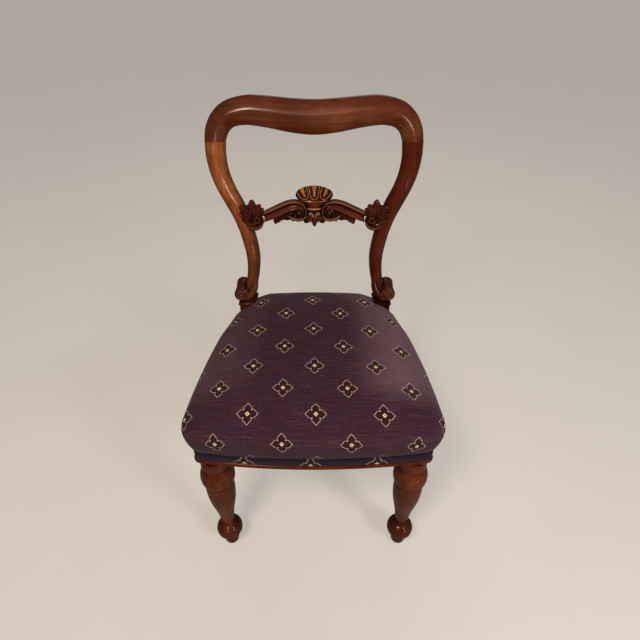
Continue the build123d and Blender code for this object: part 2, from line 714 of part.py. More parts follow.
with BuildPart() as front_right_leg:
    with BuildSketch(leg_profile_plane):
        with BuildLine():
            foot_swell = (FOOT_SWELL_RADIUS, collar_bottom / 2)
            collar_swell = (COLLAR_RADIUS, collar_bottom + COLLAR_HEIGHT * COLLAR_WIDEST)
            bulb_swell = (BULB_RADIUS, bulb_bottom + BULB_HEIGHT * BULB_WIDEST)
            ring_swell = (RING_RADIUS, ring_bottom + RING_HEIGHT / 2)
            Line((0, 0), (FOOT_RADIUS, 0))
            ThreePointArc((FOOT_RADIUS, 0), foot_swell, (FOOT_RADIUS, collar_bottom))
            ThreePointArc((FOOT_RADIUS, collar_bottom), collar_swell, shaft_points[0])
            Spline(*shaft_points)
            Line(shaft_points[-1], (GROOVE_RADIUS, bulb_bottom))
            ThreePointArc((GROOVE_RADIUS, bulb_bottom), bulb_swell, (NECK_RADIUS, ring_bottom))
            ThreePointArc((NECK_RADIUS, ring_bottom), ring_swell, (NECK_RADIUS, LEG_BLOCK_BOTTOM))
            Line((NECK_RADIUS, LEG_BLOCK_BOTTOM), (0, LEG_BLOCK_BOTTOM))
            Line((0, LEG_BLOCK_BOTTOM), (0, 0))
        make_face()
    revolve(axis=leg_axis)
    with BuildSketch(Plane.XY.offset(LEG_BLOCK_BOTTOM)):
        add(frame_outline(0, 0))
        with Locations((LEG_INNER, LEG_BACK)):
            Rectangle(2 * LEG_BLOCK, 2 * LEG_BLOCK, align=(Align.MIN, Align.MAX), mode=Mode.INTERSECT)
    extrude(amount=RAIL_TOP - LEG_BLOCK_BOTTOM)
    add(rail_dowel_holes, mode=Mode.SUBTRACT)
    add(screw_holes, mode=Mode.SUBTRACT)
    add(cover_tack_holes, mode=Mode.SUBTRACT)

with BuildPart() as front_left_leg:
    mirror(front_right_leg.part, about=Plane.YZ)

# ---------------------------------------------------------------- seat rails

rail_band = frame_band(0, -RAIL_THICKNESS, RAIL_BOTTOM, RAIL_TOP)
FRAME_DEPTH = FRAME_BACK_Y - FRAME_FRONT_Y


def rail_between(low_x, low_y, high_x, high_y):
    """Length of the rail band inside one upright box, with its holes."""
    with BuildPart() as rail:
        with BuildSketch(Plane.XY.offset(RAIL_BOTTOM)):
            with Locations(((low_x + high_x) / 2, (low_y + high_y) / 2)):
                Rectangle(high_x - low_x, high_y - low_y)
        extrude(amount=RAIL_HEIGHT)
        add(rail_band, mode=Mode.INTERSECT)
        add(rail_dowel_holes, mode=Mode.SUBTRACT)
        add(web_tack_holes, mode=Mode.SUBTRACT)
        add(cover_tack_holes, mode=Mode.SUBTRACT)
    return rail.part


with BuildPart() as front_rail:
    add(rail_between(-LEG_INNER, FRAME_FRONT_Y - FRAME_DEPTH, LEG_INNER, LEG_BACK))
with BuildPart() as right_side_rail:
    add(rail_between(0, LEG_BACK, 2 * FRAME_FRONT_HALF, POST_FRONT))
with BuildPart() as left_side_rail:
    add(rail_between(-2 * FRAME_FRONT_HALF, LEG_BACK, 0, POST_FRONT))
with BuildPart() as back_rail:
    add(rail_between(-POST_INNER, POST_FRONT, POST_INNER, FRAME_BACK_Y + FRAME_DEPTH))

# ---------------------------------------------------------------- corner blocks


def corner_block(plane, corner_x, corner_y, toward_y):
    """Block across one corner of the frame, fitted to the rails and notched over the corner."""
    with BuildPart() as block:
        with BuildSketch(Plane.XY.offset(RAIL_MIDDLE - BLOCK_HEIGHT / 2)):
            add(frame_outline(-RAIL_THICKNESS - GLUE_LINE, 0))
            middle = plane.offset(BLOCK_THICKNESS / 2).origin
            with Locations((middle.X, middle.Y)):
                tilt = 45 * toward_y
                Rectangle(BLOCK_THICKNESS, 2 * FRAME_FRONT_HALF, rotation=tilt, mode=Mode.INTERSECT)
            with Locations((corner_x - GLUE_LINE, corner_y - GLUE_LINE * toward_y)):
                align_y = Align.MIN if toward_y > 0 else Align.MAX
                Rectangle(
                    2 * FRAME_FRONT_HALF,
                    2 * FRAME_FRONT_HALF,
                    align=(Align.MIN, align_y),
                    mode=Mode.SUBTRACT,
                )
        extrude(amount=BLOCK_HEIGHT)
        add(screw_holes, mode=Mode.SUBTRACT)
    return block.part


with BuildPart() as front_right_block:
    add(corner_block(front_block_plane, LEG_INNER, LEG_BACK, -1))
with BuildPart() as front_left_block:
    mirror(front_right_block.part, about=Plane.YZ)
with BuildPart() as rear_right_block:
    add(corner_block(rear_block_plane, POST_INNER, POST_FRONT, 1))
with BuildPart() as rear_left_block:
    mirror(rear_right_block.part, about=Plane.YZ)

# ---------------------------------------------------------------- dowels, screws and tacks

with BuildPart() as rail_dowels:
    add(pegs(rail_dowel_places, DOWEL_RADIUS, DOWEL_LENGTH))
with BuildPart() as crest_dowels:
    add(pegs(crest_dowel_places, DOWEL_RADIUS, DOWEL_LENGTH))
with BuildPart() as mid_rail_dowels:
    add(pegs(mid_dowel_places, MID_DOWEL_RADIUS, MID_DOWEL_LENGTH))
with BuildPart() as corner_block_screws:
    add(screws())
with BuildPart() as webbing_tacks:
    add(web_tacks())
with BuildPart() as cover_tacks:
    add(cover_tacks_group())

# ---------------------------------------------------------------- show wood strip and fabric band

strip_band = frame_band(STRIP_THICKNESS, 0, RAIL_BOTTOM, STRIP_TOP)
MITRE_INNER = LEG_BLOCK / 2
mitre_start = (FRAME_FRONT_HALF - MITRE_INNER, FRAME_FRONT_Y + MITRE_INNER)
mitre_end = (FRAME_FRONT_HALF + MITRE_INNER, FRAME_FRONT_Y - MITRE_INNER)

with BuildPart() as front_strip:
    with BuildSketch(Plane.XY.offset(RAIL_BOTTOM)):
        with BuildLine():
            Polyline(
                (-mitre_start[0], mitre_start[1]),
                (-mitre_end[0], mitre_end[1]),
                mitre_end,
                mitre_start,
                close=True,
            )
        make_face()
    extrude(amount=STRIP_HEIGHT)
    add(strip_band, mode=Mode.INTERSECT)

with BuildPart() as right_strip:
    with BuildSketch(Plane.XY.offset(RAIL_BOTTOM)):
        with BuildLine():
            Polyline(
                mitre_start,
                mitre_end,
                (mitre_end[0], POST_FRONT),
                (POST_INNER, POST_FRONT),
                close=True,
            )
        make_face()
    extrude(amount=STRIP_HEIGHT)
    add(strip_band, mode=Mode.INTERSECT)

with BuildPart() as left_strip:
    mirror(right_strip.part, about=Plane.YZ)


def rear_corners(clearance, bottom, top):
    """Upright space of both posts and all behind and outside them, which the upholstery leaves free."""
    with BuildPart() as corners:
        with BuildSketch(Plane.XY.offset(bottom)):
            for side in (-1, 1):
                with Locations((side * (POST_INNER - clearance), POST_FRONT - clearance)):
                    align_x = Align.MIN if side > 0 else Align.MAX
                    Rectangle(FRAME_FRONT_HALF, FRAME_DEPTH, align=(align_x, Align.MIN))
        extrude(amount=top - bottom)
    return corners.part


post_space = rear_corners(SOFT_CLEARANCE, RAIL_BOTTOM, LEDGE_TOP + POST_HEIGHT)
ledge_space = rear_corners(
    LEDGE_REACH + SOFT_CLEARANCE, LEDGE_TOP - LEDGE_HEIGHT - SOFT_CLEARANCE, LEDGE_TOP + POST_HEIGHT
)
fabric_band = frame_band(BAND_BACK + BAND_THICKNESS, BAND_BACK, STRIP_TOP + SOFT_CLEARANCE, BAND_TOP)

with BuildPart() as cover_band:
    add(fabric_band)
    with BuildSketch(Plane.XY.offset(RAIL_BOTTOM)):
        with Locations((0, POST_FRONT - SOFT_CLEARANCE)):
            Rectangle(
                3 * FRAME_FRONT_HALF,
                2 * FRAME_DEPTH,
                align=(Align.CENTER, Align.MAX),
            )
    extrude(amount=RAIL_HEIGHT, mode=Mode.INTERSECT)

with BuildPart() as rear_cover_band:
    add(fabric_band)
    with BuildSketch(Plane.XY.offset(RAIL_BOTTOM)):
        with Locations((0, POST_FRONT)):
            Rectangle(
                2 * (POST_INNER - SOFT_CLEARANCE),
                FRAME_DEPTH,
                align=(Align.CENTER, Align.MIN),
            )
    extrude(amount=RAIL_HEIGHT, mode=Mode.INTERSECT)

# ---------------------------------------------------------------- upholstery


OVERHANGS = [SEAT_FRONT_OVERHANG, SEAT_SIDE_OVERHANG, SEAT_BACK_OVERHANG, SEAT_REAR_SIDE_OVERHANG]


def crown_sections(bottom, roll, shrink):
    """Sections of the crown from its widest level up: a rounded edge and then a low dome."""
    grows = [overhang - shrink for overhang in OVERHANGS]
    radii = [SEAT_CORNER_RADIUS - shrink, SEAT_BACK_RADIUS - shrink]
    sections = []
    for share in CROWN_SHARES:
        edge_rise = roll * sqrt(1 - share**SEAT_ROLL_POWER)
        dome_rise = SEAT_DOME * (1 - share**2)
        sections.append(seat_plan(bottom + edge_rise + dome_rise, *grows, *radii, share))
    return sections


def seat_form(shrink):
    """Whole outer form of the seat above the fabric band, drawn in at the sides and crowned."""
    bottom = BAND_TOP + SOFT_CLEARANCE + shrink
    sections = []
    for rise_share, swell in SEAT_SIDE_STATIONS:
        grows = [CREASE_GROW + (overhang - CREASE_GROW) * swell - shrink for overhang in OVERHANGS]
        radii = [
            FRAME_CORNER_RADIUS + (radius - FRAME_CORNER_RADIUS) * swell
            for radius in (SEAT_CORNER_RADIUS, SEAT_BACK_RADIUS)
        ]
        level = bottom + (SHOULDER_Z - bottom) * rise_share
        sections.append(seat_plan(level, *grows, *radii))
    sections += crown_sections(SHOULDER_Z, SEAT_ROLL - shrink, shrink)
    with BuildPart() as form:
        loft(sections)
    return form.part


def stuffing_form(shrink, bottom):
    """Crowned pad on the hessian, inside the wadding."""
    with BuildPart() as form:
        loft(crown_sections(bottom, SHOULDER_Z + SEAT_ROLL - shrink - bottom, shrink))
    return form.part


with BuildPart() as frame_space:
    add(frame_outline(SOFT_CLEARANCE, RAIL_BOTTOM))
    extrude(amount=HESSIAN_TOP + SOFT_CLEARANCE - RAIL_BOTTOM)

wadding_shrink = COVER_THICKNESS + SOFT_CLEARANCE
stuffing_shrink = wadding_shrink + WADDING_THICKNESS

with BuildPart() as seat_cover:
    add(seat_form(0))
    add(seat_form(COVER_THICKNESS), mode=Mode.SUBTRACT)
    add(frame_space.part, mode=Mode.SUBTRACT)
    add(frame_band(HEM_FACE, SOFT_CLEARANCE, BAND_TOP - COVER_HEM, BAND_TOP + SOFT_CLEARANCE + HEM_FACE))
    add(post_space, mode=Mode.SUBTRACT)
    add(ledge_space, mode=Mode.SUBTRACT)
    add(cover_tack_holes, mode=Mode.SUBTRACT)

with BuildPart() as seat_wadding:
    add(seat_form(wadding_shrink))
    add(frame_space.part, mode=Mode.SUBTRACT)
    add(stuffing_form(stuffing_shrink - SOFT_CLEARANCE, HESSIAN_TOP), mode=Mode.SUBTRACT)
    add(post_space, mode=Mode.SUBTRACT)
    add(ledge_space, mode=Mode.SUBTRACT)

with BuildPart() as seat_stuffing:
    add(stuffing_form(stuffing_shrink, HESSIAN_TOP + SOFT_CLEARANCE))
    add(post_space, mode=Mode.SUBTRACT)
    add(ledge_space, mode=Mode.SUBTRACT)

with BuildPart() as seat_hessian:
    add(frame_outline(-HESSIAN_INSET, HESSIAN_BOTTOM))
    extrude(amount=HESSIAN_THICKNESS)
    add(post_space, mode=Mode.SUBTRACT)

# ---------------------------------------------------------------- webbing


def web_band(points, plane):
    """Band whose underside follows the points, folded back on itself at both ends."""
    over = [(along, level + WEB_THICKNESS) for along, level in points]
    first, last = points[0], points[-1]
    fold_top = RAIL_TOP + 2 * WEB_THICKNESS
    upper = [(last[0], fold_top), (last[0] - WEB_FOLD, fold_top), (last[0] - WEB_FOLD, over[-1][1])]
    upper += list(reversed(over[1:-1]))
    upper += [(first[0] + WEB_FOLD, over[0][1]), (first[0] + WEB_FOLD, fold_top), (first[0], fold_top)]
    with BuildPart() as band:
        with BuildSketch(plane):
            with BuildLine():
                Polyline(*points, *upper, close=True)
            make_face()
        extrude(amount=WEB_WIDTH / 2, both=True)
        add(web_tack_holes, mode=Mode.SUBTRACT)
    return band.part


def crosswise_points(row):
    """Underside of a crosswise band that passes over and under the lengthwise bands by turns."""
    end = crosswise_end(crosswise_middles[row])
    under = RAIL_TOP - WEB_THICKNESS - SOFT_CLEARANCE
    points = [(-end, RAIL_TOP)]
    for column, x in enumerate(lengthwise_middles):
        passes_over = (row + column) % 2 == 0
        level = WEB_UPPER if passes_over else under
        reach = WEB_WIDTH / 2 + WEB_SETTLE
        if column == 0:
            points.append((x - reach - 2 * WEB_SETTLE, RAIL_TOP))
        points += [(x - reach, level), (x + reach, level)]
        if column == len(lengthwise_middles) - 1:
            points.append((x + reach + 2 * WEB_SETTLE, RAIL_TOP))
    return points + [(end, RAIL_TOP)]


webbing = {}
for number, x in enumerate(lengthwise_middles, start=1):
    front, back = lengthwise_ends(x)
    band_plane = Plane(origin=(x, 0, 0), x_dir=(0, 1, 0), z_dir=(1, 0, 0))
    webbing[f"webbing_lengthwise_{number}"] = web_band([(front, RAIL_TOP), (back, RAIL_TOP)], band_plane)
for number, y in enumerate(crosswise_middles, start=1):
    band_plane = Plane(origin=(0, y, 0), x_dir=(1, 0, 0), z_dir=(0, -1, 0))
    webbing[f"webbing_crosswise_{number}"] = web_band(crosswise_points(number - 1), band_plane)

# ---------------------------------------------------------------- export

pieces = {
    "crest_rail": crest_rail.part,
    "right_stile": right_stile.part,
    "left_stile": left_stile.part,
    "mid_rail": mid_rail.part,
    "front_right_leg": front_right_leg.part,
    "front_left_leg": front_left_leg.part,
    "front_rail": front_rail.part,
    "right_side_rail": right_side_rail.part,
    "left_side_rail": left_side_rail.part,
    "back_rail": back_rail.part,
    "front_right_corner_block": front_right_block.part,
    "front_left_corner_block": front_left_block.part,
    "rear_right_corner_block": rear_right_block.part,
    "rear_left_corner_block": rear_left_block.part,
    "rail_dowels": rail_dowels.part,
    "crest_dowels": crest_dowels.part,
    "mid_rail_dowels": mid_rail_dowels.part,
    "corner_block_screws": corner_block_screws.part,
    "front_strip": front_strip.part,
    "right_strip": right_strip.part,
    "left_strip": left_strip.part,
    "webbing_tacks": webbing_tacks.part,
    "seat_hessian": seat_hessian.part,
    "seat_stuffing": seat_stuffing.part,
    "seat_wadding": seat_wadding.part,
    "seat_cover": seat_cover.part,
    "cover_tacks": cover_tacks.part,
    "cover_band": cover_band.part,
    "rear_cover_band": rear_cover_band.part,
    **webbing,
}

os.makedirs("parts", exist_ok=True)
for name, piece in pieces.items():
    piece.label = name
    export_step(piece, f"parts/{name}.step")
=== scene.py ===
"""Balloon back chair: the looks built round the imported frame.

Sizes in the classes are millimetres in the row frame (front faces -Y, +Z up, floor at 0).
Finished meshes are in metres, with their place in the mesh and their objects at the origin.
"""

import json
import logging
import math
from dataclasses import dataclass, field
from enum import Enum
from typing import Callable, Iterable, Sequence

import bmesh
import bpy
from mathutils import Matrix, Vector

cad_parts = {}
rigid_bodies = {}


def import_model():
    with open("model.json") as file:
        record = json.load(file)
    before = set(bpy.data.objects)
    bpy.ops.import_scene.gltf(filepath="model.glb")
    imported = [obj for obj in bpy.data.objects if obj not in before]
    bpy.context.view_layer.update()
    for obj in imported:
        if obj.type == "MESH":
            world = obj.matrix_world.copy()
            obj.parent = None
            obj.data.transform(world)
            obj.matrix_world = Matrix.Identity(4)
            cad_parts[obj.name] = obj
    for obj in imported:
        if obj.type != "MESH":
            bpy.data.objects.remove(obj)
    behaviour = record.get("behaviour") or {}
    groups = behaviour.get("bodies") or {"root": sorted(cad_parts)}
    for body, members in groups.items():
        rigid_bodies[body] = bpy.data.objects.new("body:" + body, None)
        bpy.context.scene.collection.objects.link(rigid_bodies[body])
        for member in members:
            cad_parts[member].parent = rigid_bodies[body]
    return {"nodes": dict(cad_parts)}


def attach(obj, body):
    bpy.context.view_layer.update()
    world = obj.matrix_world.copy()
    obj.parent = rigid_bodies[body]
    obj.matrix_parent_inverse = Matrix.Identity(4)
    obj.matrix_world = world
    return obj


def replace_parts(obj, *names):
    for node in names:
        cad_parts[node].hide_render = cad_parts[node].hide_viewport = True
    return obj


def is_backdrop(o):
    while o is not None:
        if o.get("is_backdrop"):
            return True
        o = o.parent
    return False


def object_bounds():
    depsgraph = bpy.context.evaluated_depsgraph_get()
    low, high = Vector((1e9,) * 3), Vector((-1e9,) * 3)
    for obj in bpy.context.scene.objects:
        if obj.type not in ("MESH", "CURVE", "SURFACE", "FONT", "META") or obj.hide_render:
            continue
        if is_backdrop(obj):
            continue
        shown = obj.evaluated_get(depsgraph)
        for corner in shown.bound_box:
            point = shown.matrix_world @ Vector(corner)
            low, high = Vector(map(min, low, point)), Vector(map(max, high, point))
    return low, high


for left_over in list(bpy.data.objects):
    bpy.data.objects.remove(left_over)
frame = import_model()

MM = 0.001
log = logging.getLogger("chair")


# ---------------------------------------------------------------- small helpers


def linear(hex_colour: str) -> tuple[float, float, float, float]:
    """Linear colour of an sRGB hex value.

    Args:
        hex_colour: six hex digits with a leading hash.

    Returns:
        Red, green, blue and alpha, linear.
    """
    shares = [int(hex_colour[i : i + 2], 16) / 255 for i in (1, 3, 5)]
    red, green, blue = (s / 12.92 if s <= 0.04045 else ((s + 0.055) / 1.055) ** 2.4 for s in shares)
    return (red, green, blue, 1.0)


def add_node(
    tree: bpy.types.NodeTree,
    kind: str,
    inputs: dict[int | str, object] | None = None,
    stops: Sequence[tuple[float, str]] = (),
    **settings: object,
) -> bpy.types.Node:
    """Adds a node with its settings, values and links.

    Args:
        tree: the node tree that gets the node.
        kind: the node's type name.
        inputs: socket name or number, and the value or the output that feeds it.
        stops: places and hex colours of a colour ramp.
        settings: properties of the node.

    Returns:
        The new node.
    """
    node = tree.nodes.new(kind)
    for key, value in settings.items():
        setattr(node, key, value)
    for key, value in (inputs or {}).items():
        if isinstance(value, bpy.types.NodeSocket):
            tree.links.new(value, node.inputs[key])
        else:
            node.inputs[key].default_value = value
    if stops:
        ramp = node.color_ramp
        while len(ramp.elements) < len(stops):
            ramp.elements.new(0.5)
        for element, (place, colour) in zip(ramp.elements, stops):
            element.position = place
            element.color = linear(colour)
    return node


def flowing(rows: Sequence[Sequence[float]], per_span: int) -> list[tuple[float, ...]]:
    """Rows of numbers made smooth: a curve through every row.

    Args:
        rows: numbers of each station, the same count in each row.
        per_span: steps from one station to the next.

    Returns:
        The rows of the curve, the first and last station included.
    """
    points = [Vector(row) for row in rows]
    result = []
    for i in range(len(points) - 1):
        before = points[max(i - 1, 0)]
        start, end = points[i], points[i + 1]
        after = points[min(i + 2, len(points) - 1)]
        span = max((end - start).length, 1e-6)
        lead = max((start - before).length, 1e-6)
        trail = max((after - end).length, 1e-6)
        leave = (end - start) if i == 0 else (end - before) * (span / (span + lead))
        arrive = (end - start) if i == len(points) - 2 else (after - start) * (span / (span + trail))
        for step in range(per_span):
            t = step / per_span
            a, b = 2 * t**3 - 3 * t**2 + 1, t**3 - 2 * t**2 + t
            c, d = -2 * t**3 + 3 * t**2, t**3 - t**2
            result.append(tuple(start * a + leave * b + end * c + arrive * d))
    result.append(tuple(points[-1]))
    return result


def blend_value(table: Sequence[tuple[float, float]], at: float) -> float:
    """Value of a table of (place, value) rows at one place, held flat past its ends."""
    if at <= table[0][0]:
        return table[0][1]
    for (low, first), (high, second) in zip(table, table[1:]):
        if at <= high:
            return first + (second - first) * (at - low) / (high - low)
    return table[-1][1]


@dataclass(frozen=True)
class BackPlane:
    """The raked plane that the back of the chair lies in."""

    post_y: float = 154
    ledge_z: float = 438
    rake: float = 0.19

    def depth(self, z: float) -> float:
        """Depth of the plane at one height."""
        return self.post_y + self.rake * (z - self.ledge_z)

    @property
    def outward(self) -> Vector:
        """Unit normal of the plane, towards the front."""
        return Vector((0, -1, self.rake)).normalized()

    def at(self, x: float, z: float, out: float = 0.0) -> Vector:
        """Point over a place on the plane.

        Args:
            x: half width, to the right.
            z: height above the floor.
            out: distance in front of the plane.

        Returns:
            The point in the row frame, in millimetres.
        """
        return Vector((x, self.depth(z), z)) + self.outward * out


BACK = BackPlane()


class Carver:
    """A mesh in the making, shaped with bmesh operators, in millimetres."""

    def __init__(self) -> None:
        """Starts an empty mesh, with room for places on the cloth and for wear and painted light."""
        self.bm = bmesh.new()
        self.cloth_map = self.bm.loops.layers.uv.new("cloth")
        self.wear_and_painted_light = self.bm.verts.layers.float.new("wear_and_painted_light")
        self.patina_and_painted_light = 0.0  # wear and painted light of whatever is added next: 1 pale, for rubbed wood and painted highlights; -1 dark, for old polish and painted shade

    def swept(self, outlines: Sequence[Sequence[Vector]], capped: bool = True) -> list[list[bmesh.types.BMVert]]:
        """Solid that runs through closed outlines, one after the other.

        Args:
            outlines: rings with the same number of points, which match by order.
            capped: whether the first and the last ring are closed by a face.

        Returns:
            The corners of each ring.
        """
        bm = self.bm
        count = len(outlines[0])
        made = bmesh.ops.create_circle(bm, cap_ends=capped, radius=1, segments=count)["verts"]
        ring = sorted(made, key=lambda vert: math.atan2(vert.co.y, vert.co.x))
        for vert, place in zip(ring, outlines[0]):
            vert.co = place
        rings = [ring]
        for outline in outlines[1:]:
            edges = [bm.edges.get((ring[i], ring[(i + 1) % count])) for i in range(count)]
            made = bmesh.ops.extrude_edge_only(bm, edges=edges)["geom"]
            unfaded_and_shaded = {item for item in made if isinstance(item, bmesh.types.BMVert)}
            following = []
            for vert, place in zip(ring, outline):
                follower = next(e.other_vert(vert) for e in vert.link_edges if e.other_vert(vert) in unfaded_and_shaded)
                follower.co = place
                following.append(follower)
            ring = following
            rings.append(ring)
        if capped:
            bmesh.ops.contextual_create(bm, geom=ring)
        for ring in rings:
            for vert in ring:
                vert[self.wear_and_painted_light] = self.patina_and_painted_light
        return rings

    def bar(
        self,
        inner: Sequence[Vector],
        outer: Sequence[Vector],
        depth: Sequence[float],
        squareness: Sequence[float],
        ridge: Sequence[float],
        count: int = 36,
        peak: float = 1.0,
    ) -> None:
        """Rounded bar between two edges, as the crest rail and the stiles are.

        Args:
            inner: points of the inner edge.
            outer: points of the outer edge.
            depth: full depth at each station.
            squareness: 2 for an oval section, more for a squarer one.
            ridge: how far a soft arris stands proud along the front.
            count: corners of each section.
            peak: share of the squareness that the front keeps; less makes its middle stand out more.
        """
        outlines = []
        for a, b, thick, power, proud in zip(inner, outer, depth, squareness, ridge):
            middle, half = (a + b) / 2, (b - a) / 2
            outline = []
            for i in range(count):
                angle = 2 * math.pi * i / count
                c, s = math.cos(angle), math.sin(angle)
                held = power * (peak if s > 0 else 1)
                across = math.copysign(abs(c) ** (2 / held), c)
                out = math.copysign(abs(s) ** (2 / held), s) * thick / 2
                if s > 0:
                    out += proud * math.exp(-(((across - 0.1) / 0.3) ** 2))
                outline.append(middle + half * across + BACK.outward * out)
            outlines.append(outline)
        self.swept(outlines)

    def tube(self, path: Sequence[Vector], radii: Sequence[float], facing: Vector, flat: float = 1.0) -> None:
        """Round bead along a path, with rounded ends.

        Args:
            path: points that it follows.
            radii: radius at each point.
            facing: direction that the bead stands up in.
            flat: height of the bead as a share of its width.
        """
        rounded = [(0, -0.8, 0.25), (0, -0.5, 0.7)]
        stations = [(0, shift * radii[0], share * radii[0]) for _, shift, share in rounded]
        stations += [(i, 0.0, radius) for i, radius in enumerate(radii)]
        last = len(path) - 1
        stations += [(last, -shift * radii[-1], share * radii[-1]) for _, shift, share in reversed(rounded)]
        outlines = []
        for i, shift, radius in stations:
            along = (path[min(i + 1, last)] - path[max(i - 1, 0)]).normalized()
            side = along.cross(facing).normalized()
            up = side.cross(along).normalized()
            centre = path[i] + along * shift
            ring = [2 * math.pi * k / 10 for k in range(10)]
            outlines.append([centre + side * math.cos(a) * radius + up * math.sin(a) * radius * flat for a in ring])
        self.swept(outlines)

    def ball(self, centre: Vector, axes: Sequence[Vector], around: int = 16, along: int = 10) -> list[bmesh.types.BMVert]:
        """Stretched ball about a centre, along three axes.

        Args:
            centre: its middle.
            axes: half axes; the third one holds the poles.
            around: sides round the third axis.
            along: bands from pole to pole.

        Returns:
            Its corners.
        """
        made = bmesh.ops.create_uvsphere(self.bm, u_segments=around, v_segments=along, radius=1)["verts"]
        for vert in made:
            x, y, z = vert.co
            vert.co = centre + axes[0] * x + axes[1] * y + axes[2] * z
            vert[self.wear_and_painted_light] = self.patina_and_painted_light
        return made

    def lobe(
        self,
        root: tuple[float, float],
        angle: float,
        length: float,
        width: float,
        out: float,
        half_depth: float,
        groove: float = 2.0,
        curl: float = 3.0,
        point: float = 0.45,
    ) -> None:
        """Carved leaf lobe on the back plane, with a vein down its middle.

        Args:
            root: half width and height where it springs from.
            angle: direction in degrees, 0 to the right and 90 up.
            length: from root to tip.
            width: across its widest place.
            out: how far its middle lies in front of the plane.
            half_depth: half its thickness.
            groove: depth of the vein.
            curl: how far the tip turns forward.
            point: how much narrower the tip is than an oval's.
        """
        c, s = math.cos(math.radians(angle)), math.sin(math.radians(angle))
        made = bmesh.ops.create_uvsphere(self.bm, u_segments=18, v_segments=12, radius=1)["verts"]
        for vert in made:
            across, rise, t = vert.co
            across *= 1 - point * max(t, 0) ** 2 + 0.15 * max(-t, 0)
            if rise > 0:
                rise -= groove / half_depth * math.exp(-((across / 0.2) ** 2)) * math.sqrt(max(1 - t * t, 0))
            run = (1 + t) / 2
            x = root[0] + c * run * length - s * across * width / 2
            z = root[1] + s * run * length + c * across * width / 2
            vert.co = BACK.at(x, z, out + rise * half_depth + curl * run**3)
            # Painted shade and old polish darken the foot of the leaf, and a painted highlight and rubbing lighten the
            # high edge beside the vein.
            vert[self.wear_and_painted_light] = self.patina_and_painted_light + blend_value(((-0.2, -0.6), (0.5, -0.25), (0.95, 0.12)), rise)

    def box(self, low: Sequence[float], high: Sequence[float], round_off: float, segments: int = 2) -> None:
        """Block between two corners, with its edges rounded off.

        Args:
            low: lowest corner.
            high: highest corner.
            round_off: width of the rounding.
            segments: facets of the rounding.
        """
        made = bmesh.ops.create_cube(self.bm, size=1)["verts"]
        for vert in made:
            vert.co = Vector(h if c > 0 else l for c, l, h in zip(vert.co, low, high))
        edges = {edge for vert in made for edge in vert.link_edges}
        bmesh.ops.bevel(
            self.bm, geom=list(edges), offset=round_off, segments=segments, affect="EDGES", profile=0.5, material=-1
        )

    def mirror_copy(self) -> "Carver":
        """The same mesh on the other side of the chair."""
        other = Carver()
        other.bm = self.bm.copy()
        bmesh.ops.scale(other.bm, vec=(-1, 1, 1), verts=other.bm.verts)
        return other

    def finish(self, name: str, material: bpy.types.Material, slot: str, crease: float = 38) -> bpy.types.Object:
        """Closes the mesh and makes its object, which rides on the chair.

        Args:
            name: the piece's name.
            material: its finish.
            slot: the record's material slot; not used.
            crease: angle in degrees past which an edge stays sharp.

        Returns:
            The new object.
        """
        bm = self.bm
        bmesh.ops.remove_doubles(bm, verts=bm.verts, dist=0.01)
        bmesh.ops.recalc_face_normals(bm, faces=bm.faces)
        bmesh.ops.scale(bm, vec=(MM, MM, MM), verts=bm.verts)
        for face in bm.faces:
            face.smooth = True
        for edge in bm.edges:
            edge.smooth = len(edge.link_faces) == 2 and edge.calc_face_angle(0) < math.radians(crease)
        mesh = bpy.data.meshes.new(name)
        bm.to_mesh(mesh)
        bm.free()
        piece = bpy.data.objects.new(name, mesh)
        bpy.context.scene.collection.objects.link(piece)
        mesh.materials.append(material)
        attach(piece, "root")
        log.info("%s: %d faces", name, len(mesh.polygons))
        return piece


# ---------------------------------------------------------------- finishes


class Grain(Enum):
    """Direction that the wood's grain runs in."""

    ACROSS = (0.06, 1.0, 1.0)
    DEEP = (1.0, 0.06, 1.0)
    UPRIGHT = (1.0, 1.0, 0.06)


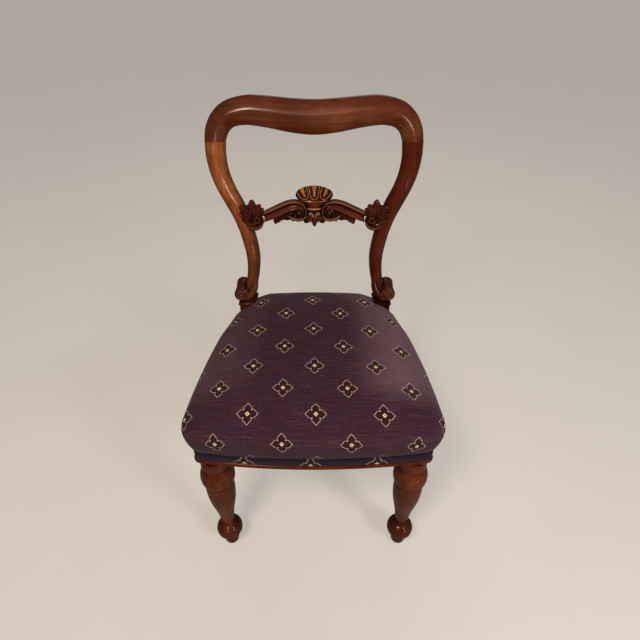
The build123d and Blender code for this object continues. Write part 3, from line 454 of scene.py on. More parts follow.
@dataclass(frozen=True)
class Mahogany:
    """French polished mahogany: red-brown wood under a clear, soft gloss, dark where old polish gathers; painted shade
    darkens its hollows, the wood that doesn't face the front and its lower parts, and painted highlights lighten some
    carving.
    """

    name: str
    dark: str = "#2c0d04"
    middle: str = "#54210a"
    light: str = "#753b16"
    # pale colour of rubbed wood, also used for painted highlights on the carving
    rubbed_and_sheen: str = "#8c6346"
    grain: Grain = Grain.ACROSS
    recess: float = 0.6  # how much darker the hollows are, with old polish and painted shade
    reach: float = 0.012  # metres, how near the walls of a hollow are
    sides: float = 0.62  # painted shade: how much darker the wood is that doesn't face the front
    low: tuple[float, float] = (-1.0, -0.9)  # metres, heights over which painted shade darkens the wood downwards
    coat: tuple[float, float] = (0.18, 0.1)  # weight and roughness of the polish

    def material(self) -> bpy.types.Material:
        """Node material of the finish."""
        made = bpy.data.materials.new(self.name)
        made.use_nodes = True
        tree = made.node_tree
        tree.nodes.clear()
        place = add_node(tree, "ShaderNodeTexCoord").outputs["Object"]
        drawn = add_node(tree, "ShaderNodeMapping", {"Vector": place, "Scale": self.grain.value}).outputs[0]
        # Figure: streaks about 8 mm wide that wander along the grain.
        figure = add_node(
            tree, "ShaderNodeTexNoise", {"Vector": drawn, "Scale": 150.0, "Detail": 6.0, "Roughness": 0.65, "Distortion": 0.4}
        ).outputs[0]
        # Pores: real ones are 0.2 mm wide, drawn about 1 mm wide so that they show.
        pores = add_node(
            tree, "ShaderNodeTexNoise", {"Vector": drawn, "Scale": 900.0, "Detail": 2.0, "Roughness": 0.5}
        ).outputs[0]
        # Cloudy toning from hand polishing, patches about 60 mm across.
        cloud = add_node(tree, "ShaderNodeTexNoise", {"Vector": place, "Scale": 16.0, "Detail": 2.0}).outputs[0]
        tone = add_node(tree, "ShaderNodeMath", {0: figure, 1: 0.5, 2: 0.0}, operation="MULTIPLY_ADD").outputs[0]
        tone = add_node(tree, "ShaderNodeMath", {0: cloud, 1: 0.5, 2: tone}, operation="MULTIPLY_ADD").outputs[0]
        wood = add_node(
            tree,
            "ShaderNodeValToRGB",
            {0: tone},
            stops=[(0.25, self.dark), (0.5, self.middle), (0.75, self.light)],
        ).outputs[0]
        pore_mask = add_node(
            tree, "ShaderNodeMapRange", {0: pores, 1: 0.5, 2: 0.68, 3: 0.0, 4: 0.35}
        ).outputs[0]
        wood = add_node(
            tree, "ShaderNodeMix", {0: pore_mask, 6: wood, 7: linear(self.dark)}, data_type="RGBA"
        ).outputs[2]
        # Old polish and dirt stay dark in the hollows of the carving, and painted shade darkens them as well: the mask
        # is ambient occlusion.
        hollow = add_node(
            tree, "ShaderNodeAmbientOcclusion", {"Distance": self.reach}, samples=8
        ).outputs["AO"]
        patina_and_painted_light = add_node(
            tree, "ShaderNodeMapRange", {0: hollow, 1: 0.35, 2: 0.95, 3: self.recess, 4: 0.0}
        ).outputs[0]
        wood = add_node(
            tree, "ShaderNodeMix", {0: patina_and_painted_light, 6: wood, 7: linear("#140604")}, data_type="RGBA"
        ).outputs[2]
        wood = self.painted_shade_and_wear(tree, wood)
        gloss = add_node(
            tree, "ShaderNodeMapRange", {0: cloud, 1: 0.3, 2: 0.7, 3: 0.36, 4: 0.46}
        ).outputs[0]
        bump = add_node(
            tree, "ShaderNodeBump", {"Height": pores, "Strength": 0.08, "Distance": 0.0004}
        ).outputs[0]
        shader = add_node(
            tree,
            "ShaderNodeBsdfPrincipled",
            {
                "Base Color": wood,
                "Roughness": gloss,
                "Normal": bump,
                "IOR": 1.45,
                "Specular IOR Level": 0.0,
                "Coat Weight": self.coat[0],
                "Coat Roughness": self.coat[1],
            },
        ).outputs[0]
        add_node(tree, "ShaderNodeOutputMaterial", {0: shader})
        return made

    def painted_shade_and_wear(self, tree: bpy.types.NodeTree, wood: bpy.types.NodeSocket) -> bpy.types.NodeSocket:
        """Colour with painted shade and wear: the wood that doesn't face the front and the wood low down get painted
        shade; where the wear value is negative it darkens with old polish and painted shade, and where it is positive
        it pales with rubbing and painted highlights.

        Args:
            tree: the node tree of the finish.
            wood: colour of the wood under its polish.

        Returns:
            The colour with painted shade and wear.
        """
        place = add_node(tree, "ShaderNodeTexCoord").outputs
        facing = add_node(
            tree, "ShaderNodeVectorMath", {0: place["Normal"], 1: tuple(BACK.outward)}, operation="DOT_PRODUCT"
        ).outputs["Value"]
        height = add_node(tree, "ShaderNodeSeparateXYZ", {0: place["Object"]}).outputs[2]
        worn_and_painted_light = add_node(tree, "ShaderNodeAttribute", attribute_name="wear_and_painted_light").outputs["Fac"]
        # Dark colour of painted shade on the sides and low down, and of old polish and painted shade where the wear
        # value is negative.
        shade_and_old_polish = linear("#120503")
        for value, start, end, most in ((facing, 0.9, 0.15, self.sides), (height, self.low[1], self.low[0], 0.8), (worn_and_painted_light, 0, -1, 0.92)):
            share = add_node(tree, "ShaderNodeMapRange", {0: value, 1: start, 2: end, 3: 0.0, 4: most}).outputs[0]
            wood = add_node(tree, "ShaderNodeMix", {0: share, 6: wood, 7: shade_and_old_polish}, data_type="RGBA").outputs[2]
        # Pale colour of rubbing and painted highlights where the wear value is positive.
        share = add_node(tree, "ShaderNodeMapRange", {0: worn_and_painted_light, 1: 0.0, 2: 1.0, 3: 0.0, 4: 0.85}).outputs[0]
        return add_node(tree, "ShaderNodeMix", {0: share, 6: wood, 7: linear(self.rubbed_and_sheen)}, data_type="RGBA").outputs[2]


@dataclass(frozen=True)
class SawnWood:
    """Sawn or turned plain wood with no polish: pale, dull, with fine saw marks across the grain."""

    name: str
    dark: str
    light: str
    grain: Grain = Grain.ACROSS
    dirt: float = 0.3

    def material(self) -> bpy.types.Material:
        """Node material of the finish."""
        made = bpy.data.materials.new(self.name)
        made.use_nodes = True
        tree = made.node_tree
        tree.nodes.clear()
        place = add_node(tree, "ShaderNodeTexCoord").outputs["Object"]
        drawn = add_node(tree, "ShaderNodeMapping", {"Vector": place, "Scale": self.grain.value}).outputs[0]
        # Growth rings about 4 mm apart, and flecks about 1 mm wide.
        rings = add_node(
            tree, "ShaderNodeTexNoise", {"Vector": drawn, "Scale": 250.0, "Detail": 4.0, "Roughness": 0.6}
        ).outputs[0]
        dust = add_node(tree, "ShaderNodeTexNoise", {"Vector": place, "Scale": 22.0, "Detail": 3.0}).outputs[0]
        wood = add_node(
            tree, "ShaderNodeValToRGB", {0: rings}, stops=[(0.35, self.dark), (0.62, self.light)]
        ).outputs[0]
        dirty = add_node(tree, "ShaderNodeMapRange", {0: dust, 1: 0.4, 2: 0.75, 3: 0.0, 4: self.dirt}).outputs[0]
        wood = add_node(
            tree, "ShaderNodeMix", {0: dirty, 6: wood, 7: linear("#4a3320")}, data_type="RGBA"
        ).outputs[2]
        bump = add_node(
            tree, "ShaderNodeBump", {"Height": rings, "Strength": 0.25, "Distance": 0.0005}
        ).outputs[0]
        shader = add_node(
            tree, "ShaderNodeBsdfPrincipled", {"Base Color": wood, "Roughness": 0.72, "Normal": bump, "IOR": 1.5}
        ).outputs[0]
        add_node(tree, "ShaderNodeOutputMaterial", {0: shader})
        return made


@dataclass(frozen=True)
class PlainSteel:
    """Drawn steel of screws and tacks, dulled by a thin brown rust."""

    name: str = "plain_steel"

    def material(self) -> bpy.types.Material:
        """Node material of the finish."""
        made = bpy.data.materials.new(self.name)
        made.use_nodes = True
        tree = made.node_tree
        tree.nodes.clear()
        place = add_node(tree, "ShaderNodeTexCoord").outputs["Object"]
        # Rust spots about 2 mm across.
        spots = add_node(tree, "ShaderNodeTexNoise", {"Vector": place, "Scale": 500.0, "Detail": 3.0}).outputs[0]
        metal = add_node(
            tree, "ShaderNodeValToRGB", {0: spots}, stops=[(0.42, "#6f6c68"), (0.62, "#4b3324")]
        ).outputs[0]
        rough = add_node(tree, "ShaderNodeMapRange", {0: spots, 1: 0.4, 2: 0.65, 3: 0.35, 4: 0.7}).outputs[0]
        shader = add_node(
            tree, "ShaderNodeBsdfPrincipled", {"Base Color": metal, "Roughness": rough, "Metallic": 0.85}
        ).outputs[0]
        add_node(tree, "ShaderNodeOutputMaterial", {0: shader})
        return made


@dataclass(frozen=True)
class PlainWeave:
    """Coarse plain woven cloth, such as jute webbing or hessian: matt, fibrous, with open threads."""

    name: str
    dark: str
    light: str
    pitch: float  # thread spacing in millimetres
    stripe: str | None = None

    def material(self) -> bpy.types.Material:
        """Node material of the finish."""
        made = bpy.data.materials.new(self.name)
        made.use_nodes = True
        tree = made.node_tree
        tree.nodes.clear()
        place = add_node(tree, "ShaderNodeTexCoord").outputs["Object"]
        turns = 2 * math.pi / (self.pitch * MM)
        waves = add_node(
            tree, "ShaderNodeVectorMath", {0: place, 3: turns}, operation="SCALE"
        ).outputs[0]
        waves = add_node(tree, "ShaderNodeVectorMath", {0: waves}, operation="SINE").outputs[0]
        parts = add_node(tree, "ShaderNodeSeparateXYZ", {0: waves}).outputs
        threads = add_node(tree, "ShaderNodeMath", {0: parts[0], 1: parts[1]}, operation="MULTIPLY").outputs[0]
        # Fibres about 3 mm long that break up the threads.
        fibre = add_node(tree, "ShaderNodeTexNoise", {"Vector": place, "Scale": 320.0, "Detail": 4.0}).outputs[0]
        tone = add_node(tree, "ShaderNodeMath", {0: threads, 1: 0.22, 2: fibre}, operation="MULTIPLY_ADD").outputs[0]
        cloth = add_node(
            tree, "ShaderNodeValToRGB", {0: tone}, stops=[(0.28, self.dark), (0.75, self.light)]
        ).outputs[0]
        bump = add_node(tree, "ShaderNodeBump", {"Height": tone, "Strength": 0.6, "Distance": 0.0006}).outputs[0]
        shader = add_node(
            tree,
            "ShaderNodeBsdfPrincipled",
            {"Base Color": cloth, "Roughness": 0.9, "Normal": bump, "Sheen Weight": 0.15, "Specular IOR Level": 0.2},
        ).outputs[0]
        add_node(tree, "ShaderNodeOutputMaterial", {0: shader})
        return made


@dataclass(frozen=True)
class LooseFibre:
    """Loose stuffing: curled hair or cotton wadding, matt and tangled."""

    name: str
    dark: str
    light: str
    curl: float  # size of a curl in millimetres

    def material(self) -> bpy.types.Material:
        """Node material of the finish."""
        made = bpy.data.materials.new(self.name)
        made.use_nodes = True
        tree = made.node_tree
        tree.nodes.clear()
        place = add_node(tree, "ShaderNodeTexCoord").outputs["Object"]
        tangle = add_node(
            tree,
            "ShaderNodeTexNoise",
            {"Vector": place, "Scale": 1000 / self.curl, "Detail": 5.0, "Roughness": 0.7, "Distortion": 2.5},
        ).outputs[0]
        fibre = add_node(
            tree, "ShaderNodeValToRGB", {0: tangle}, stops=[(0.35, self.dark), (0.65, self.light)]
        ).outputs[0]
        bump = add_node(tree, "ShaderNodeBump", {"Height": tangle, "Strength": 0.9, "Distance": 0.003}).outputs[0]
        shader = add_node(
            tree,
            "ShaderNodeBsdfPrincipled",
            {"Base Color": fibre, "Roughness": 0.95, "Normal": bump, "Sheen Weight": 0.2, "Specular IOR Level": 0.15},
        ).outputs[0]
        add_node(tree, "ShaderNodeOutputMaterial", {0: shader})
        return made


@dataclass(frozen=True)
class DiaperCloth:
    """Ribbed wool and cotton weave, aubergine, with an outlined diamond of four petals in cream.

    The ribs run across the seat and slubs give it streaks; worn edges and a painted sheen on the sides turn it
    grey-mauve, and below the roll painted shade, with cloth less faded there, turns it navy.
    """

    name: str = "ribbed_diaper_cloth"
    pitch_across: float = 117.5
    pitch_along: float = 108
    origin: tuple[float, float] = (-1, 15.5)
    half_width: float = 18.4
    half_height: float = 20
    line: float = 0.46
    dark: str = "#190c14"
    middle: str = "#2e151e"
    light: str = "#4a323c"
    violet: str = "#26162a"
    # grey-mauve of worn cloth, also a painted sheen on the sides
    worn_and_painted_light: str = "#72595f"
    # navy of painted shade under the roll, where the cloth is also less faded
    navy: str = "#12071a"
    outline: str = "#b09a8a"
    cream: str = "#cbb692"
    petal: str = "#220c0d"

    def material(self) -> bpy.types.Material:
        """Node material of the finish, drawn on the cloth's own UV map in metres."""
        made = bpy.data.materials.new(self.name)
        made.use_nodes = True
        tree = made.node_tree
        tree.nodes.clear()
        cloth = add_node(tree, "ShaderNodeUVMap", uv_map="cloth").outputs[0]
        place = add_node(
            tree,
            "ShaderNodeVectorMath",
            {0: cloth, 1: (1000, 1000, 0), 2: (-self.origin[0], -self.origin[1], 0)},
            operation="MULTIPLY_ADD",
        ).outputs[0]
        figure, ring, petals = self.figure(tree, place)
        # Slubs: thick places in the weft, about 50 mm long and 2 mm wide.
        slub_place = add_node(tree, "ShaderNodeVectorMath", {0: place, 1: (0.02, 0.45, 0)}, operation="MULTIPLY").outputs[0]
        slubs = add_node(
            tree, "ShaderNodeTexNoise", {"Vector": slub_place, "Scale": 1.0, "Detail": 4.0, "Roughness": 0.65}
        ).outputs[0]
        # Threads: broken flecks about 5 mm long and 1 mm wide; real threads are a third of that.
        thread_place = add_node(tree, "ShaderNodeVectorMath", {0: place, 1: (0.2, 0.95, 0)}, operation="MULTIPLY").outputs[0]
        threads = add_node(
            tree, "ShaderNodeTexNoise", {"Vector": thread_place, "Scale": 1.0, "Detail": 2.0, "Roughness": 0.6}
        ).outputs[0]
        tone = add_node(tree, "ShaderNodeMath", {0: threads, 1: 0.45, 2: 0.0}, operation="MULTIPLY_ADD").outputs[0]
        tone = add_node(tree, "ShaderNodeMath", {0: slubs, 1: 0.55, 2: tone}, operation="MULTIPLY_ADD").outputs[0]
        ground = add_node(
            tree,
            "ShaderNodeValToRGB",
            {0: tone},
            stops=[(0.34, self.dark), (0.51, self.middle), (0.68, self.light)],
        ).outputs[0]
        # Uneven dye: violet patches about 40 mm wide and a third as long.
        dye_place = add_node(tree, "ShaderNodeVectorMath", {0: place, 1: (0.018, 0.06, 0)}, operation="MULTIPLY").outputs[0]
        dye = add_node(tree, "ShaderNodeTexNoise", {"Vector": dye_place, "Scale": 1.0, "Detail": 3.0}).outputs[0]
        dye = add_node(tree, "ShaderNodeMapRange", {0: dye, 1: 0.42, 2: 0.66, 3: 0.0, 4: 0.5}).outputs[0]
        ground = add_node(
            tree, "ShaderNodeMix", {0: dye, 6: ground, 7: linear(self.violet)}, data_type="RGBA"
        ).outputs[2]
        # The wear attribute carries wear and painted light: navy painted shade where it is negative, grey-mauve wear
        # and painted sheen where it is positive.
        wear_and_painted_light = add_node(tree, "ShaderNodeAttribute", attribute_name="wear_and_painted_light").outputs["Fac"]
        unfaded_and_shaded = add_node(tree, "ShaderNodeMapRange", {0: wear_and_painted_light, 1: 0.0, 2: -1.0, 3: 0.0, 4: 0.9}).outputs[0]
        ground = add_node(
            tree, "ShaderNodeMix", {0: unfaded_and_shaded, 6: ground, 7: linear(self.navy)}, data_type="RGBA"
        ).outputs[2]
        rubbed_and_sheen = add_node(tree, "ShaderNodeMath", {0: wear_and_painted_light, 1: tone}, operation="MULTIPLY").outputs[0]
        rubbed_and_sheen = add_node(tree, "ShaderNodeMapRange", {0: rubbed_and_sheen, 1: 0.08, 2: 0.62, 3: 0.0, 4: 0.8}).outputs[0]
        ground = add_node(
            tree, "ShaderNodeMix", {0: rubbed_and_sheen, 6: ground, 7: linear(self.worn_and_painted_light)}, data_type="RGBA"
        ).outputs[2]
        ground = add_node(
            tree, "ShaderNodeMix", {0: petals, 6: ground, 7: linear(self.petal)}, data_type="RGBA"
        ).outputs[2]
        broken = add_node(tree, "ShaderNodeMapRange", {0: threads, 1: 0.3, 2: 0.52, 3: 0.3, 4: 0.95}).outputs[0]
        drawn = add_node(tree, "ShaderNodeMath", {0: figure, 1: broken}, operation="MULTIPLY").outputs[0]
        colour = add_node(
            tree, "ShaderNodeMix", {0: drawn, 6: ground, 7: linear(self.outline)}, data_type="RGBA"
        ).outputs[2]
        colour = add_node(
            tree, "ShaderNodeMix", {0: ring, 6: colour, 7: linear(self.cream)}, data_type="RGBA"
        ).outputs[2]
        # Ribs: real ones are 1 mm apart, drawn 2.4 mm apart so that they catch the light.
        parts = add_node(tree, "ShaderNodeSeparateXYZ", {0: place}).outputs
        rib = add_node(
            tree, "ShaderNodeMath", {0: parts[1], 1: 2 * math.pi / 2.4}, operation="MULTIPLY"
        ).outputs[0]
        rib = add_node(tree, "ShaderNodeMath", {0: rib}, operation="SINE").outputs[0]
        relief = add_node(tree, "ShaderNodeMath", {0: rib, 1: 0.2, 2: tone}, operation="MULTIPLY_ADD").outputs[0]
        relief = add_node(tree, "ShaderNodeMath", {0: drawn, 1: 0.4, 2: relief}, operation="MULTIPLY_ADD").outputs[0]
        bump = add_node(
            tree, "ShaderNodeBump", {"Height": relief, "Strength": 0.45, "Distance": 0.0008}
        ).outputs[0]
        shader = add_node(
            tree,
            "ShaderNodeBsdfPrincipled",
            {
                "Base Color": colour,
                "Roughness": 0.85,
                "Normal": bump,
                "Sheen Weight": 0.03,
                "Sheen Roughness": 0.5,
                "Specular IOR Level": 0.1,
            },
        ).outputs[0]
        add_node(tree, "ShaderNodeOutputMaterial", {0: shader})
        return made

    def figure(
        self, tree: bpy.types.NodeTree, place: bpy.types.NodeSocket
    ) -> tuple[bpy.types.NodeSocket, bpy.types.NodeSocket, bpy.types.NodeSocket]:
        """Masks of the figure's pale threads and of its dark petals.

        Args:
            tree: the node tree of the cloth.
            place: place on the cloth in millimetres.

        Returns:
            The masks of the outline, of the ring in the middle and of the petals.
        """
        half = (self.pitch_across / 2, self.pitch_along / 2, 1)
        wrapped = add_node(
            tree,
            "ShaderNodeVectorMath",
            {0: place, 1: half, 2: (-half[0], -half[1], -1)},
            operation="WRAP",
        ).outputs[0]
        folded = add_node(tree, "ShaderNodeVectorMath", {0: wrapped}, operation="ABSOLUTE").outputs[0]
        # The second lattice is set half a repeat over and half a repeat down.
        opposite = add_node(tree, "ShaderNodeVectorMath", {0: half, 1: folded}, operation="SUBTRACT").outputs[0]
        shares = add_node(tree, "ShaderNodeVectorMath", {0: folded, 1: half}, operation="DIVIDE").outputs[0]
        share = add_node(tree, "ShaderNodeVectorMath", {0: shares, 1: (1, 1, 0)}, operation="DOT_PRODUCT").outputs["Value"]
        second = add_node(tree, "ShaderNodeMath", {0: share, 1: 1.0}, operation="GREATER_THAN").outputs[0]
        near = add_node(
            tree, "ShaderNodeMix", {0: second, 4: folded, 5: opposite}, data_type="VECTOR"
        ).outputs[1]
        flat = add_node(tree, "ShaderNodeVectorMath", {0: near, 1: (1, 1, 0)}, operation="MULTIPLY").outputs[0]
        # Shares of the half size: their sum is 1 on the outline of the diamond.
        part = add_node(
            tree, "ShaderNodeVectorMath", {0: flat, 1: (1 / self.half_width, 1 / self.half_height, 0)}, operation="MULTIPLY"
        ).outputs[0]
        total = add_node(tree, "ShaderNodeVectorMath", {0: part, 1: (1, 1, 0)}, operation="DOT_PRODUCT").outputs["Value"]
        lean = add_node(tree, "ShaderNodeVectorMath", {0: part, 1: (1, -1, 0)}, operation="DOT_PRODUCT").outputs["Value"]
        lean = add_node(tree, "ShaderNodeMath", {0: lean}, operation="ABSOLUTE").outputs[0]
        across = self.half_width * self.half_height / math.hypot(self.half_width, self.half_height)
        # The outline runs in at the middle of each side, where the petals part, and ends in a knot.
        dip = add_node(tree, "ShaderNodeMapRange", {0: lean, 1: 0.03, 2: 0.24, 3: 0.18, 4: 0.0}).outputs[0]
        edge = add_node(tree, "ShaderNodeMath", {0: total, 1: dip}, operation="ADD").outputs[0]
        edge = add_node(tree, "ShaderNodeMath", {0: edge, 1: across, 2: -across}, operation="MULTIPLY_ADD").outputs[0]
        petals = add_node(tree, "ShaderNodeMapRange", {0: edge, 1: -self.line, 2: 0.0, 3: 0.8, 4: 0.0}).outputs[0]
        edge = add_node(tree, "ShaderNodeMath", {0: edge}, operation="ABSOLUTE").outputs[0]
        outline = add_node(
            tree, "ShaderNodeMapRange", {0: edge, 1: self.line - 0.3, 2: self.line + 0.4, 3: 0.85, 4: 0.0}
        ).outputs[0]
        knot = add_node(tree, "ShaderNodeMapRange", {0: lean, 1: 0.05, 2: 0.1, 3: 0.9, 4: 0.0}).outputs[0]
        inner = add_node(tree, "ShaderNodeMapRange", {0: total, 1: 0.66, 2: 0.71}).outputs[0]
        outer = add_node(tree, "ShaderNodeMapRange", {0: total, 1: 0.82, 2: 0.87, 3: 1.0, 4: 0.0}).outputs[0]
        knot = add_node(tree, "ShaderNodeMath", {0: knot, 1: inner}, operation="MULTIPLY").outputs[0]
        knot = add_node(tree, "ShaderNodeMath", {0: knot, 1: outer}, operation="MULTIPLY").outputs[0]
        outline = add_node(tree, "ShaderNodeMath", {0: outline, 1: knot}, operation="MAXIMUM").outputs[0]
        # Small square ring of cream threads round the middle.
        ring = add_node(tree, "ShaderNodeMath", {0: total, 1: 0.15}, operation="SUBTRACT").outputs[0]
        ring = add_node(tree, "ShaderNodeMath", {0: ring}, operation="ABSOLUTE").outputs[0]
        ring = add_node(tree, "ShaderNodeMapRange", {0: ring, 1: 0.045, 2: 0.09, 3: 0.9, 4: 0.0}).outputs[0]
        return outline, ring, petals


# ---------------------------------------------------------------- back


@dataclass
class CrestRail:
    """Yoke-shaped crest rail, one piece of wood between the two stile joints."""

    depth: float = 35
    ridge: float = 1.6
    # Half width and height of the inner edge, and of the outer edge, from the joint to the middle.
    edges: tuple[tuple[float, float, float, float], ...] = (
        (176, 780, 219, 780),
        (170, 794, 214, 806),
        (160, 804, 199, 832),
        (146, 808, 174, 851.5),
        (126, 808.5, 132, 862),
        (90, 803.5, 91, 861),
        (45, 795, 45, 857),
        (0, 791, 0, 855),
    )

    def build(self, finish: Mahogany) -> bpy.types.Object:
        """Crest rail in place.

        Args:
            finish: its polish.

        Returns:
            The piece.
        """
        left = [(-a, b, -c, d) for a, b, c, d in reversed(self.edges[:-1])]
        stations = flowing([*self.edges, *left], 8)
        carver = Carver()
        share = [abs(i / (len(stations) - 1) * 2 - 1) for i in range(len(stations))]
        carver.bar(
            [BACK.at(a, b) for a, b, _, _ in stations],
            [BACK.at(c, d) for _, _, c, d in stations],
            [self.depth] * len(stations),
            [2.7 - 0.3 * s for s in share],
            [self.ridge] * len(stations),
            count=48,
            peak=0.56,
        )
        piece = carver.finish("crest", finish.material(), "polished_wood")
        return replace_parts(piece, "crest_rail")


@dataclass
class Stile:
    """One stile with its foot, post and rear leg, all from one board, as built on the right."""

    post: tuple[float, float, float, float] = (155, 154, 38, 42)  # middle, width and depth
    rail_bottom: float = 335
    ledge_bottom: float = 433
    ledge_reach: float = 2
    foot: tuple[float, float] = (27, 29)
    sweep: float = 72
    # Height above the ledge, inner and outer edge, depth, squareness and front ridge.
    stations: tuple[tuple[float, ...], ...] = (
        (-6, 143, 169, 34, 4.5, 0.0),
        (14, 138, 165, 38, 4.5, 0.3),
        (34, 132, 158, 38, 4.2, 0.6),
        (66, 125, 152, 37, 3.8, 1.0),
        (100, 122, 151, 37, 3.6, 1.0),
        (131, 125, 156, 37, 3.4, 1.0),
        (160, 131, 163, 37, 3.2, 0.6),
        (190, 139, 174, 37, 3.0, 0.4),
        (220, 149, 189, 37, 2.8, 0.6),
        (251, 164, 204, 37, 2.7, 1.0),
        (281, 174, 214, 36, 2.5, 1.2),
        (313, 178, 219, 35, 2.4, 1.4),
        (341.7, 176, 219, 35, 2.4, 1.5),
    )
    # Half width, height, forward place and radius of the foot's curl into its scroll.
    curl: tuple[tuple[float, float, float, float], ...] = (
        (133.5, 512, 11, 3.5),
        (134, 489, 14, 6.0),
        (137, 472, 17, 8.0),
        (144, 458, 20, 8.6),
        (153, 450, 21.5, 7.6),
        (162, 447.5, 21.5, 6.0),
        (169, 449, 20, 4.0),
    )
    leg: tuple[tuple[float, float], ...] = ((1, 0), (0.82, 0.02), (0.66, 0.08), (0.5, 0.2), (0.33, 0.38), (0.16, 0.66), (0, 1))

    def shape(self) -> Carver:
        """Mesh of the right stile."""
        carver = Carver()
        rows = flowing(self.stations, 6)
        carver.bar(
            [BACK.at(r[1], BACK.ledge_z + r[0]) for r in rows],
            [BACK.at(r[2], BACK.ledge_z + r[0]) for r in rows],
            [r[3] for r in rows],
            [r[4] for r in rows],
            [r[5] for r in rows],
            peak=0.64,
        )
        curl = flowing(self.curl, 4)
        carver.tube([BACK.at(x, z, out) for x, z, out, _ in curl], [r[3] for r in curl], BACK.outward)
        x, y, width, depth = self.post
        reach = self.ledge_reach
        carver.box(
            (x - width / 2 - reach, y - depth / 2 - reach, self.ledge_bottom),
            (x + width / 2 + reach, y + depth / 2 + reach, BACK.ledge_z),
            1.8,
            3,
        )
        outlines = []
        for share, swept in flowing(self.leg, 5):
            w = self.foot[0] + (width - self.foot[0]) * share
            d = self.foot[1] + (depth - self.foot[1]) * share
            outlines.append(self.square(x, y + self.sweep * swept, w, d, self.rail_bottom * share, 2.2))
        outlines.insert(0, self.square(x, y, width, depth, self.ledge_bottom + 0.5, 1.2))
        carver.swept(outlines)
        return carver

    def square(self, x: float, y: float, width: float, depth: float, z: float, round_off: float) -> list[Vector]:
        """Level outline of the post or leg, with its corners rounded off."""
        a, b, r = width / 2, depth / 2, round_off
        corners = [(a, b, 0), (-a, b, 90), (-a, -b, 180), (a, -b, 270)]
        outline = []
        for cx, cy, start in corners:
            for turn in (0, 45, 90):
                angle = math.radians(start + turn)
                px = cx - math.copysign(r, cx) + r * math.cos(angle)
                py = cy - math.copysign(r, cy) + r * math.sin(angle)
                outline.append(Vector((x + px, y + py, z)))
        return outline

    def build(self, finish_right: Mahogany, finish_left: Mahogany) -> list[bpy.types.Object]:
        """Both stiles in place.

        Args:
            finish_right: polish of the right one, painted darker for shade.
            finish_left: polish of the left one, painted lighter where light falls.

        Returns:
            The right and the left piece.
        """
        right = self.shape()
        left = right.mirror_copy()
        pieces = [
            right.finish("stile_right", finish_right.material(), "polished_wood"),
            left.finish("stile_left", finish_left.material(), "polished_wood"),
        ]
        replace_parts(pieces[0], "right_stile")
        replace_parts(pieces[1], "left_stile")
        return pieces


@dataclass
class FootScroll:
    """Carved scroll on the outside of each stile's foot, its axis from front to back."""

    x: float = 166.5
    z: float = 461.5
    radius: float = 16.5
    length: float = 54
    turns: float = 2.6

    def shape(self) -> Carver:
        """Mesh of the right scroll."""
        carver = Carver()
        front = BACK.depth(self.z) - self.length / 2
        # Distance behind the front face, and radius.
        last = self.length
        profile = [
            (3.0, 0.5),
            (3.0, 8),
            (2.4, 12),
            (0.4, 13.4),
            (0, 14.4),
            (0.9, 15.8),
            (3, self.radius),
            (9, self.radius - 0.2),
            (last * 0.5, self.radius - 1.8),
            (last - 9, self.radius - 0.2),
            (last - 3, self.radius),
            (last - 1, 15.6),
            (last, 14.2),
            (last - 0.4, 8),
            (last - 0.6, 0.5),
        ]
        outlines = []
        for back, radius in profile:
            ring = [2 * math.pi * k / 40 for k in range(40)]
            outlines.append(
                [Vector((self.x + radius * math.cos(a), front + back, self.z + radius * math.sin(a))) for a in ring]
            )
        # The recessed front face between the spiral's turns gets old polish and painted shade.
        for ring, (back, radius) in zip(carver.swept(outlines), profile):
            for vert in ring:
                vert[carver.wear_and_painted_light] = -0.9 if back < 4 and radius < 14 else 0.0
        # The spiral bead is paler: rubbed wood and a painted highlight.
        carver.patina_and_painted_light = 0.3
        path, radii = [], []
        steps = 52
        for step in range(steps + 1):
            share = step / steps
            angle = math.radians(128 + 360 * self.turns * share)
            reach = 15.4 - 12.4 * share**0.85
            path.append(Vector((self.x + reach * math.cos(angle), front + 1.6, self.z + reach * math.sin(angle))))
            radii.append(1.6 - 0.7 * share)
        carver.tube(path, radii, Vector((0, -1, 0)))
        button = Vector((self.x, front + 1.5, self.z))
        carver.ball(button, [Vector((2.4, 0, 0)), Vector((0, 0, 2.4)), Vector((0, 2.6, 0))])
        return carver

    def build(self, finish: Mahogany) -> list[bpy.types.Object]:
        """Both scrolls in place."""
        right = self.shape()
        left = right.mirror_copy()
        return [
            right.finish("scroll_right", finish.material(), "polished_wood"),
            left.finish("scroll_left", finish.material(), "polished_wood"),
        ]


